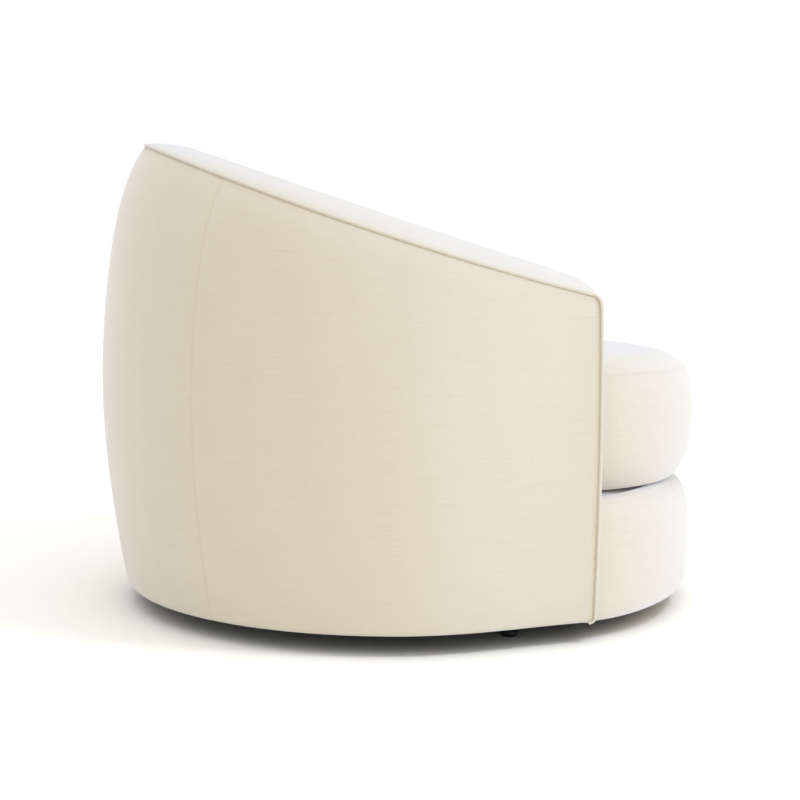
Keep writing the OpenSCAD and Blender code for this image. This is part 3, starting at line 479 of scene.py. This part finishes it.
# The loose cover before its filling presses it up: a ridge by the seam and a sunk middle
RIDGE_H, RIDGE_AT, RIDGE_W = 2.6, 28, 20
SINK_H, SINK_FROM, SINK_REACH = 8.2, 62, 200
# The simulation: remesh size in metres, pinned band, last frame, cap and the share that is taken
VOXEL, PIN_BAND, LAST_FRAME, SWELL_CAP, SWELL_SHARE = 0.006, 4.5, 20, 24.0, 0.35
CUSHION_COLUMNS, CUSHION_ROWS = 120, (16, 46, 46)


def outline(inset, columns, under=0.0):
    """Half the cushion's outline from the back centre to the front centre, then mirrored. The
    underside's inset is full at the front only: the cushion stands squarer on the base at the arms."""
    n_back, n_side = columns // 3, columns // 5
    n_front = columns - n_back - n_side
    front_a = FRONT_A * (1 - np.linspace(0, 1, n_front + 1) ** FRONT_EASE)
    ease = clip01((np.degrees(front_a) - 12) / 44)
    front_in = inset + under * mix(1.0, ARM_UNDER_SHARE, ease * ease * (3 - 2 * ease))
    inset = inset + under * ARM_UNDER_SHARE
    a = np.linspace(0, math.pi / 2, n_back, endpoint=False)
    back = np.stack([(BACK_R - inset) * np.sin(a), (BACK_R - inset) * np.cos(a)], -1)
    q = spaced(n_side + 1, 0.8)[:-1]
    pinch = ARM_PINCH * fall((1 - q) * ARM_FRONT, PINCH_W)
    side = np.stack([BACK_R - inset - INSIDE_TAPER * q * q - pinch, -ARM_FRONT * q], -1)
    front_in = front_in + ARM_PINCH * fall((FRONT_A - front_a) * FRONT_R, PINCH_W)
    front = np.stack([(FRONT_R - front_in) * np.sin(front_a),
                      -FRONT_Y - (FRONT_R - front_in) * np.cos(front_a)], -1)
    half = np.concatenate([back, side, front])
    return np.concatenate([half, half[-2:0:-1] * np.array([-1.0, 1.0])])


def cushion_rings(columns, slack):
    """Rings from the middle of the underside to the middle of the top, their cloth places and their
    nearness to the seams, which pulls the seams in and paints shade along them. With slack the top
    is still loose, as the cover is before its filling presses it up."""
    low_rows, side_rows, top_rows = CUSHION_ROWS
    rings, lay, seam = [], [], []
    loop = outline(0, columns)
    run = np.concatenate([[0], np.cumsum(np.linalg.norm(np.diff(loop, axis=0), axis=1))])
    foot = DECK_Z + 0.5
    base = outline(0, columns, CUSHION_UNDER)
    mid = CUSHION_MID[:2]
    for t in np.linspace(0.02, 1, low_rows) ** 0.6:
        edge = clip01((t - 0.965) / 0.035)
        xy = mid + (base - mid) * t
        rings.append(np.column_stack([xy, np.full(len(xy), foot + (LOW_Z - foot) * edge**2)]))
        lay.append(np.column_stack([xy, 0 * xy[:, :1]]))
        seam.append(0.0)
    for t in spaced(side_rows, 0.5):
        z = mix(LOW_Z, BOXING_Z, t)
        under = CUSHION_UNDER * np.maximum(0, 1 - (z - foot) / (CUSHION_WIDE_Z - foot)) ** 3
        over = CUSHION_OVER * np.maximum(0, (z - CUSHION_WIDE_Z) / (BOXING_Z - CUSHION_WIDE_Z)) ** 3
        rings.append(np.column_stack([outline(over, columns, under), np.full(len(loop), z)]))
        lay.append(np.column_stack([run, np.full(len(loop), z), 0 * run]))
        # Nearness to the boxing and lower seams, for their pull and their painted shade
        seam.append(max(fall(z - BOXING_Z, 1.0), fall(z - LOW_Z, 1.0)))
    top = outline(CUSHION_OVER, columns)
    reach = BACK_R - CUSHION_OVER
    for t in 1 - np.linspace(0, 1, top_rows + 1)[1:]:
        k = 1 - (1 - t) ** 1.7
        d = (1 - k) * reach
        z = BOXING_Z + ROLL_H * (1 - math.exp(-d / ROLL_W)) + DOME_H * math.sin(math.pi / 2 * d / reach)
        ridge = RIDGE_H * math.exp(-((d - RIDGE_AT) / RIDGE_W) ** 2)
        sink = SINK_H * math.sin(math.pi / 2 * clip01((d - SINK_FROM) / SINK_REACH))
        z += slack * (ridge - sink)
        k = max(k, 0.02)
        xy = mid + (top - mid) * k
        rings.append(np.column_stack([xy, np.full(len(xy), z)]))
        lay.append(np.column_stack([xy, 0 * xy[:, :1]]))
        seam.append(fall(d, 2.0))
    return np.array(rings), np.array(lay), np.array(seam)[:, None] * np.ones((1, len(loop)))


def swell(rings, seam_z, cap):
    """Cloth simulation of a closed cushion held at the heights in seam_z: each point's move, in mm."""
    start = loft("cushion_start", rings, rings * 0, None)
    start.data.update()
    bpy.context.view_layer.objects.active = start
    remesh = start.modifiers.new("remesh", "REMESH")
    remesh.mode, remesh.voxel_size = "VOXEL", VOXEL
    dg = bpy.context.evaluated_depsgraph_get()
    mesh = bpy.data.meshes.new_from_object(start.evaluated_get(dg))
    pad = bpy.data.objects.new("cushion_sim", mesh)
    bpy.context.scene.collection.objects.link(pad)
    before = np.zeros(len(mesh.vertices) * 3)
    mesh.vertices.foreach_get("co", before)
    before = before.reshape(-1, 3)
    group = pad.vertex_groups.new(name="pin")
    edge = np.min([np.abs(before[:, 2] / MM - z) for z in seam_z], axis=0)
    group.add([int(i) for i in np.nonzero(edge < PIN_BAND)[0]], 1.0, "REPLACE")
    cloth = pad.modifiers.new("cloth", "CLOTH")
    s = cloth.settings
    s.use_pressure, s.uniform_pressure_force = True, 4.0
    s.effector_weights.gravity = 0.0
    s.mass = 0.8
    s.vertex_group_mass = "pin"
    s.tension_stiffness = s.compression_stiffness = 18.0
    s.bending_stiffness = 1.2
    s.quality = 5
    cloth.collision_settings.use_collision = False
    cloth.point_cache.frame_start, cloth.point_cache.frame_end = 1, LAST_FRAME
    scene = bpy.context.scene
    for f in range(1, LAST_FRAME + 1):
        scene.frame_set(f)
    dg = bpy.context.evaluated_depsgraph_get()
    after_mesh = pad.evaluated_get(dg).to_mesh()
    after = np.zeros(len(after_mesh.vertices) * 3)
    after_mesh.vertices.foreach_get("co", after)
    after = after.reshape(-1, 3)
    pad.evaluated_get(dg).to_mesh_clear()
    scene.frame_set(1)
    move = (after - before) / MM
    size = np.linalg.norm(move, axis=1, keepdims=True)
    move = move * np.minimum(1, cap / np.maximum(size, 1e-9))
    tree = KDTree(len(before))
    for i, c in enumerate(before / MM):
        tree.insert(c, i)
    tree.balance()
    flat = rings.reshape(-1, 3)
    out = np.zeros_like(flat)
    for i, c in enumerate(flat):
        found = tree.find_n(c, 6)
        weight = np.array([1 / (f[2] + 1.0) ** 2 for f in found])
        out[i] = (move[[f[1] for f in found]] * weight[:, None]).sum(0) / weight.sum()
    for o in (start, pad):
        data = o.data
        bpy.data.objects.remove(o)
        bpy.data.meshes.remove(data)
    out = out.reshape(rings.shape)
    for _ in range(6):
        out = (np.roll(out, 1, 1) + 2 * out + np.roll(out, -1, 1)) / 4
        out[1:-1] = (out[:-2] + 2 * out[1:-1] + out[2:]) / 4
    return out


def seat_cushion(name):
    """The loose cushion, swollen by the simulation."""
    rings, lay, seam = cushion_rings(CUSHION_COLUMNS, 1.0)
    rings = rings + SWELL_SHARE * swell(rings, (DECK_Z, LOW_Z, BOXING_Z), SWELL_CAP)
    # The sewn seams pull in after the swelling, by the same nearness that paints shade along them.
    out = unit(rings - (CUSHION_MID + np.array([0, 0, 300.0])))
    ripple = 1 + 0.3 * np.sin(lay[..., 0] / 1.9)
    rings = rings - out * (seam[..., None] * 0.9 * ripple[..., None])
    rings = rings + out * (0.5 * wobble(lay[..., 0], lay[..., 1], 51, 60.0))[..., None]
    rings[..., 2] = np.maximum(rings[..., 2], DECK_Z + 0.4)
    # Painted shade along the seams
    return loft(name, rings, lay, 0.25 * seam, flip=True)


# ---- small pieces ----
def zip_strip(name):
    """Tape, teeth and slider at the back of the cushion's boxing, as one mesh."""
    points, faces, lay = [], [], []

    def block(a0, a1, r0, r1, z0, z1):
        first = len(points)
        for a in (a0, a1):
            for r in (r0, r1):
                for z in (z0, z1):
                    points.append((r * math.sin(a), r * math.cos(a), z))
                    lay.append((a * r, z, 0))
        for f in ((0, 1, 3, 2), (4, 6, 7, 5), (0, 4, 5, 1), (2, 3, 7, 6), (0, 2, 6, 4), (1, 5, 7, 3)):
            faces.append(tuple(first + i for i in f))

    mid_z, r, half = CUSHION_WIDE_Z, BACK_R + 0.3, math.radians(38)
    steps = 76
    for i in range(steps):
        a, b = mix(-half, half, i / steps), mix(-half, half, (i + 1) / steps)
        block(a, b, r, r + 0.5, mid_z - 3, mid_z + 3)
    teeth = 150
    for i in range(teeth):
        a = mix(-half, half, (i + 0.5) / teeth) * 0.985
        z = mid_z + (0.5 if i % 2 else -0.5)
        block(a - 0.0028, a + 0.0028, r + 0.5, r + 1.1, z - 1.3, z + 1.3)
    block(half * 0.93 - 0.012, half * 0.93 + 0.012, r + 0.4, r + 1.2, mid_z - 2.9, mid_z + 2.9)
    return new_mesh(name, points, faces, lay)


def deck_cloth(name):
    """The deck's padded cloth, a shallow pillow between the pads and the base front."""
    front_r, front_y = BASE_IN_R - 2.0, -ARM_FRONT - 1.3
    edge = BACK_R + 1.0
    mid = CUSHION_MID[:2]

    def edge_loop(ear_x):
        """The cloth's edge; its front corners reach sideways to ear_x along the arm's front."""
        front_a = math.asin(ear_x / front_r)
        a = np.linspace(0, math.pi / 2, 40, endpoint=False)
        q = np.linspace(0, 1, 24)
        b = front_a * (1 - np.linspace(0, 1, 30))
        ear = np.linspace(0, 1, 6, endpoint=False)[:, None]
        corner = np.array([edge - INSIDE_TAPER, front_y])
        half = np.concatenate([np.stack([edge * np.sin(a), edge * np.cos(a)], -1),
                               np.stack([edge - INSIDE_TAPER * q * q, -ARM_FRONT * q], -1),
                               mix(corner, np.array([ear_x, -front_r * math.cos(front_a)]), ear),
                               np.stack([front_r * np.sin(b), -front_r * np.cos(b)], -1)])
        return np.concatenate([half, half[-2:0:-1] * np.array([-1.0, 1.0])])

    plain, eared = edge_loop(edge - INSIDE_TAPER + 1.0), edge_loop(math.sqrt(front_r**2 - front_y**2))

    def place(t):
        loop = mix(plain, eared, clip01((t - 0.86) / 0.1))
        return mid + (loop - mid) * t

    rings, lay = [], []
    under, top = 191.5, DECK_Z - 0.6
    for t, z in [(0.03, under), (0.6, under), (0.97, under), (1.0, under + 3)]:
        rings.append(np.column_stack([place(t), np.full(len(plain), z)]))
    for t in np.concatenate([[1.0, 0.995, 0.985, 0.97, 0.95, 0.92], np.linspace(0.88, 0.03, 30)]):
        z = under + 6 + (top - under - 6) * min(1.0, ((1 - t) / 0.08)) ** 0.5
        rings.append(np.column_stack([place(t), np.full(len(plain), z)]))
    rings = np.array(rings)
    lift = 0.4 * wobble(rings[..., 0], rings[..., 1], 61, 50.0) - 0.4
    rings[4:, :, 2] += lift[4:]
    return loft(name, rings, rings * np.array([1.0, 1.0, 0.0]), flip=True)


def dust_sheet(name):
    """Black cloth tacked under the bottom ring, sagging a little between its edges."""
    inner, outer, z = 131.0, RING_R - 1.0, 38.6
    t = np.linspace(0, 1, 24)
    a = np.linspace(0, 2 * math.pi, 180, endpoint=False)
    r = mix(inner, outer, t)[None, :]
    uneven = 1 + 0.35 * np.sin(9 * a)[:, None] + 0.2 * np.sin(17 * a + 1)[:, None]
    sag = 1.1 * np.sin(math.pi * t)[None, :] * uneven
    low = np.stack([r * np.sin(a)[:, None], r * np.cos(a)[:, None], z - 0.4 - sag], -1)
    high = low[:, ::-1] + np.array([0, 0, 0.4])
    rings = np.concatenate([low, high], 1)
    return loft(name, rings, rings * np.array([1.0, 1.0, 0.0]), closed=True, flip=True)


# ---- materials ----
class Nodes:
    """Short calls that build one node tree."""

    def __init__(self, tree):
        self.tree = tree

    def add(self, kind, **settings):
        node = self.tree.nodes.new("ShaderNode" + kind)
        for key, value in settings.items():
            setattr(node, key, value)
        return node

    def link(self, a, b):
        self.tree.links.new(a, b)

    def place(self, attribute=None):
        if attribute:
            return self.add("Attribute", attribute_name=attribute).outputs["Vector"]
        return self.add("TexCoord").outputs["Object"]

    def noise(self, place, scale, detail=3.0, rough=0.55):
        m = self.add("Mapping")
        m.inputs["Scale"].default_value = scale
        self.link(place, m.inputs["Vector"])
        n = self.add("TexNoise")
        n.inputs["Scale"].default_value = 1.0
        n.inputs["Detail"].default_value = detail
        n.inputs["Roughness"].default_value = rough
        self.link(m.outputs["Vector"], n.inputs["Vector"])
        return n.outputs["Fac"]

    def ramp(self, value, stops):
        r = self.add("ValToRGB")
        while len(r.color_ramp.elements) < len(stops):
            r.color_ramp.elements.new(0.5)
        for e, (at, c) in zip(r.color_ramp.elements, stops):
            e.position = at
            e.color = (*c, 1) if hasattr(c, "__len__") else (c, c, c, 1)
        self.link(value, r.inputs["Fac"])
        return r.outputs["Color"]

    def math(self, kind, a, b):
        n = self.add("Math", operation=kind)
        for i, v in enumerate((a, b)):
            if isinstance(v, (int, float)):
                n.inputs[i].default_value = v
            else:
                self.link(v, n.inputs[i])
        return n.outputs[0]

    def blend(self, factor, a, b, kind="MIX"):
        n = self.add("Mix", data_type="RGBA", blend_type=kind)
        for socket, v in ((n.inputs[0], factor), (n.inputs[6], a), (n.inputs[7], b)):
            if isinstance(v, (int, float)):
                socket.default_value = v
            elif hasattr(v, "__len__"):
                socket.default_value = (*v, 1)
            else:
                self.link(v, socket)
        return n.outputs[2]

    def bump(self, height, strength, distance, below=None):
        n = self.add("Bump")
        n.inputs["Strength"].default_value = strength
        n.inputs["Distance"].default_value = distance
        self.link(height, n.inputs["Height"])
        if below is not None:
            self.link(below, n.inputs["Normal"])
        return n.outputs["Normal"]


class Material(Nodes):
    """The node tree of a new material."""

    def __init__(self, name):
        self.material = bpy.data.materials.new(name)
        self.material.use_nodes = True
        super().__init__(self.material.node_tree)
        self.shader = self.tree.nodes["Principled BSDF"]

    def finish(self, colour, normal=None, **sockets):
        self.link(colour, self.shader.inputs["Base Color"])
        if normal is not None:
            self.link(normal, self.shader.inputs["Normal"])
        for key, value in sockets.items():
            self.shader.inputs[key.replace("_", " ")].default_value = value
        return self.material


LINEN_PITCH = 0.0011
# The colour of the painted shade in seams and creases
SEAM_SHADE_COLOUR = (0.30, 0.215, 0.11)


def linen(name, light, dark, slub):
    """Linen-look weave: fine yarns both ways, uneven thickness, long horizontal slubs and painted shade at
    the seams.
    """
    m = Material(name)
    at = m.place("cloth")
    weft = m.noise(at, (28, 620, 1), 3, 0.6)
    warp = m.noise(at, (560, 34, 1), 3, 0.6)
    slubs = m.noise(at, (14, 260, 1), 2, 0.5)
    mottle = m.noise(at, (9, 12, 1), 3, 0.5)
    cross = m.noise(at, (310, 330, 1), 2, 0.5)
    yarn = m.math("ADD", m.math("MULTIPLY", weft, 0.5), m.math("MULTIPLY", warp, 0.3))
    yarn = m.math("ADD", yarn, m.math("MULTIPLY", cross, 0.2))
    colour = m.blend(m.ramp(yarn, [(0.36, 0.0), (0.64, 1.0)]), dark, light)
    slubs = m.math("MULTIPLY", m.ramp(slubs, [(0.54, 0.0), (0.70, 1.0)]), 0.30)
    colour = m.blend(slubs, colour, slub)
    mottle = m.math("MULTIPLY", m.ramp(mottle, [(0.35, 0.0), (0.7, 1.0)]), 0.22)
    colour = m.blend(mottle, colour, dark)
    # Painted shade: the seam attribute darkens the cloth toward a warm brown in the seams, under the rim and
    # the border and on the piping's underside.
    seam = m.add("Attribute", attribute_name="seam").outputs["Fac"]
    colour = m.blend(m.math("MULTIPLY", seam, 0.4), colour, SEAM_SHADE_COLOUR)
    split = m.add("SeparateXYZ")
    m.link(at, split.inputs[0])
    turn = 2 * math.pi / LINEN_PITCH
    across = m.math("SINE", m.math("MULTIPLY", split.outputs[0], turn), 0.0)
    up = m.math("SINE", m.math("MULTIPLY", split.outputs[1], turn), 0.0)
    weave = m.math("ADD", m.math("MULTIPLY", m.math("MULTIPLY", across, up), 0.5),
                   m.math("MULTIPLY", yarn, 1.6))
    normal = m.bump(weave, 0.32, 0.00035)
    soft = m.noise(at, (24, 30, 1), 2, 0.5)
    normal = m.bump(soft, 0.10, 0.004, normal)
    return m.finish(colour, normal, Roughness=0.92, Sheen_Weight=1.0, Sheen_Roughness=0.5,
                    Specular_IOR_Level=0.18)


def plain_cloth(name, colour, dark, pitch=0.0009):
    """An even woven cloth; the pitch is in metres."""
    m = Material(name)
    at = m.place("cloth")
    yarn = m.math("ADD", m.math("MULTIPLY", m.noise(at, (60, 900, 1)), 0.5),
                  m.math("MULTIPLY", m.noise(at, (900, 60, 1)), 0.5))
    split = m.add("SeparateXYZ")
    m.link(at, split.inputs[0])
    turn = 2 * math.pi / pitch
    weave = m.math("MULTIPLY", m.math("SINE", m.math("MULTIPLY", split.outputs[0], turn), 0.0),
                   m.math("SINE", m.math("MULTIPLY", split.outputs[1], turn), 0.0))
    normal = m.bump(m.math("ADD", weave, yarn), 0.3, 0.0003)
    return m.finish(m.blend(m.ramp(yarn, [(0.35, 0.0), (0.65, 1.0)]), dark, colour), normal, Roughness=0.9,
                    Sheen_Weight=0.15)


def wood(name, light, dark, grain, ply=None):
    """Grained wood; with a ply's thickness in metres it shows its layers."""
    m = Material(name)
    at = m.place()
    rings = m.noise(at, grain, 5, 0.6)
    fleck = m.noise(at, tuple(g * 4 for g in grain), 2, 0.5)
    value = m.math("ADD", m.math("MULTIPLY", rings, 0.75), m.math("MULTIPLY", fleck, 0.25))
    colour = m.blend(m.ramp(value, [(0.38, 0.0), (0.62, 1.0)]), dark, light)
    if ply:
        split = m.add("SeparateXYZ")
        m.link(at, split.inputs[0])
        layer = m.math("SINE", m.math("MULTIPLY", split.outputs[2], 2 * math.pi / ply), 0.0)
        layer = m.math("MULTIPLY", m.ramp(layer, [(0.45, 0.0), (0.55, 1.0)]), 0.35)
        colour = m.blend(layer, colour, dark)
    return m.finish(colour, m.bump(value, 0.15, 0.0005), Roughness=0.62)


def metal(name, colour, rough, streak, metallic=1.0, bump=0.05):
    """Metal, or with metallic 0 paint or plastic, with fine streaks and uneven gloss."""
    m = Material(name)
    at = m.place()
    fine = m.noise(at, streak, 4, 0.6)
    blot = m.noise(at, (35, 35, 35), 3, 0.5)
    tone = m.math("ADD", m.math("MULTIPLY", fine, 0.6), m.math("MULTIPLY", blot, 0.4))
    tone = m.blend(m.ramp(tone, [(0.35, 0.0), (0.65, 1.0)]), tuple(c * 0.82 for c in colour), colour)
    m.link(m.math("ADD", m.math("MULTIPLY", blot, 0.16), rough - 0.08), m.shader.inputs["Roughness"])
    return m.finish(tone, m.bump(fine, bump, 0.0003), Metallic=metallic)


CREAM, CREAM_DARK, CREAM_SLUB = (0.645, 0.575, 0.45), (0.61, 0.535, 0.41), (0.575, 0.485, 0.35)
MATERIALS = {
    "cream_fabric": linen("cream_linen", CREAM, CREAM_DARK, CREAM_SLUB),
    "deck_cloth": plain_cloth("deck_cloth", (0.70, 0.65, 0.55), (0.60, 0.55, 0.46)),
    "dust_cloth": plain_cloth("dust_cloth", (0.022, 0.022, 0.023), (0.012, 0.012, 0.012), 0.0014),
    "zip_tape": plain_cloth("zip_tape", (0.70, 0.65, 0.55), (0.58, 0.53, 0.44), 0.0007),
    "plywood": wood("plywood", (0.62, 0.46, 0.29), (0.44, 0.30, 0.17), (14, 14, 160), 0.0032),
    "beech": wood("beech", (0.56, 0.36, 0.21), (0.42, 0.25, 0.13), (120, 14, 120)),
    "black_steel": metal("black_steel", (0.018, 0.018, 0.019), 0.42, (420, 420, 420), 0.0, 0.18),
    "bright_steel": metal("bright_steel", (0.62, 0.62, 0.64), 0.3, (60, 60, 600)),
    "spring_steel": metal("spring_steel", (0.34, 0.34, 0.36), 0.34, (300, 40, 300)),
    "black_plastic": metal("black_plastic", (0.014, 0.014, 0.014), 0.48, (500, 500, 500), 0.0, 0.12),
    "bearing_nylon": metal("bearing_nylon", (0.72, 0.70, 0.63), 0.45, (260, 260, 260), 0.0, 0.08),
}
for part in frame["record"]["subparts"]:
    slots = frame["nodes"][part["node"]].data.materials
    slots.clear()
    slots.append(MATERIALS[part["material_slot"]])


def dress(obj, body, slot, nodes):
    """Give a piece its material, its body and the CAD nodes that it stands for."""
    obj.data.materials.append(MATERIALS[slot])
    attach(obj, body)
    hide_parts(*nodes)
    return obj


# ---- the chair's soft pieces ----
CREAM_SLOT = "cream_fabric"
BACK, BACK_SEAMS = (-SEAM_A, SEAM_A), (-SEAM_A, SEAM_A)
for make, fill, rows in (
    (outside_panel, 0.9, (("back_panel", *BACK, 240, BACK_SEAMS, False, "outside_back"),
                          ("arm_panel_left", SEAM_A, 180.0, 170, (SEAM_A,), True, "outside_arm_left"),
                          ("arm_panel_right", -SEAM_A, -180.0, 170, (-SEAM_A,), True, "outside_arm_right"))),
    (inside_pad, 0.8, (("inside_back_pad", *BACK, 160, BACK_SEAMS, False, "inside_back"),
                       ("inside_arm_pad_left", SEAM_A, 180.0, 110, (SEAM_A,), True, "inside_arm_left"),
                       ("inside_arm_pad_right", -SEAM_A, -180.0, 110, (-SEAM_A,), True, "inside_arm_right"))),
):
    for *shape, node in rows:
        dress(make(*shape), "chair", CREAM_SLOT, [node])
last = len(RIM_P) - 1
left_seam, right_seam = MIDDLE + SIDE_SEAM, MIDDLE - SIDE_SEAM
for name, first, end, seams, node in (
    ("back_border", right_seam, left_seam, (right_seam, left_seam), "border_back"),
    ("left_border", left_seam, last, (left_seam,), "border_left"),
    ("right_border", 0, right_seam, (right_seam,), "border_right"),
):
    dress(border(name, first, end, seams), "chair", CREAM_SLOT, [node])
welt_across = np.cross(RIM_D, RIM_N)
welt_r = WELT_R * (1 + 0.02 * np.sin(RIM_U / 2.3) + 0.02 * wobble(RIM_U, 0 * RIM_U, 71, 20.0))
# Painted shade on the piping's underside
welt_underside_shade = np.where(np.abs(RIM_P) < 178, 0.25, 0.0)  # none round the arms' feet
piping = tube("piping", RIM_OUT, welt_across, RIM_N, welt_r, 14, RIM_U, welt_underside_shade)
dress(piping, "chair", CREAM_SLOT, ["welt"])
dress(base_front("base_front"), "chair", CREAM_SLOT, ["base_front_pad"])
dress(deck_cloth("deck_cloth"), "chair", "deck_cloth", ["deck_pad"])
dust = dress(dust_sheet("dust_cloth"), "chair", "dust_cloth", ["dust_cover"])
dress(seat_cushion("seat_cushion_soft"), "cushion", CREAM_SLOT, ["seat_cushion"])
dress(zip_strip("cushion_zip_strip"), "cushion", "zip_tape", ["cushion_zip"])

# ---- floor, light and camera ----
bpy.ops.mesh.primitive_plane_add(size=30, location=(0, 0, 0))
floor = bpy.context.object
floor.name = "floor"
floor_look = Material("floor")
grit = floor_look.noise(floor_look.place(), (2, 2, 2), 2, 0.5)
floor.data.materials.append(floor_look.finish(
    floor_look.blend(grit, (0.965, 0.95, 0.905), (0.975, 0.96, 0.915)), None, Roughness=0.95))

# The studio: plain white to the camera. As a light it is a faint glow from all round, a strong one
# from overhead and a weak one from the camera's side, which is -X.
AMBIENT = {
    "all": (0.025, 0.02, 0.02),
    "up": (1.545, 1.545, 1.56),
    "side": (0.28, 0.32, 0.31),
}
AXES = {"up": (2, 1), "side": (0, -1)}
world = bpy.data.worlds.new("studio")
bpy.context.scene.world = world
world.use_nodes = True
sky = Nodes(world.node_tree)
sky_split = sky.add("SeparateXYZ")
sky.link(sky.add("TexCoord").outputs["Generated"], sky_split.inputs[0])
glow = sky.blend(1.0, (0, 0, 0), AMBIENT["all"])
for key, (axis, sign) in AXES.items():
    share = sky.math("MAXIMUM", sky.math("MULTIPLY", sky_split.outputs[axis], float(sign)), 0.0)
    lobe = sky.blend(share, (0, 0, 0), AMBIENT[key])
    glow = sky.blend(1.0, glow, lobe, "ADD")
seen = sky.blend(sky.add("LightPath").outputs["Is Camera Ray"], glow, (1, 1, 1))
sky.link(seen, sky.tree.nodes["Background"].inputs["Color"])
bpy.context.scene.view_settings.view_transform = "Standard"

# Each light's place, size, power and colour, and the point that all of them face
LIGHTS = {
    "key": ((-1.2, -4.0, 1.8), 2.5, 98.0, (0.37, 0.54, 1.0)),
    "fill": ((-3.6, -2.4, 1.2), 2.5, 37.5, (0.95, 0.98, 0.96)),
    "floor_wash": ((-1.3, -2.3, 3.8), 0.7, 50.0, (0.82, 0.88, 1.0)),
}
LIGHT_AIM = Vector((0, 0, 0.35))
# The wash lights the floor alone, and the two lamps on the chair leave the floor out
only_floor = bpy.data.collections.new("only_floor")
not_floor = bpy.data.collections.new("not_floor")
for group, state in ((only_floor, "INCLUDE"), (not_floor, "EXCLUDE")):
    group.objects.link(floor)
    group.collection_objects[0].light_linking.link_state = state
for name, (at, size, power, colour) in LIGHTS.items():
    light = bpy.data.lights.new(name, "AREA")
    light.shape, light.size, light.energy, light.color = "DISK", size, power, colour
    lamp = bpy.data.objects.new(name, light)
    lamp.location = at
    lamp.rotation_euler = (LIGHT_AIM - Vector(at)).to_track_quat("-Z", "Y").to_euler()
    bpy.context.scene.collection.objects.link(lamp)
    lamp.light_linking.receiver_collection = only_floor if name == "floor_wash" else not_floor

# The camera as fitted to the photo
camera = bpy.data.cameras.new("camera")
camera.sensor_width, camera.lens = 36.0, 65.25
eye = bpy.data.objects.new("camera", camera)
pitch = math.radians(5.515)
eye.location = (-2.4367, -0.0042, 0.555)
eye.rotation_euler = Vector((math.cos(pitch), 0, -math.sin(pitch))).to_track_quat("-Z", "Y").to_euler()
bpy.context.scene.collection.objects.link(eye)
bpy.context.scene.camera = eye

bpy.context.view_layer.update()
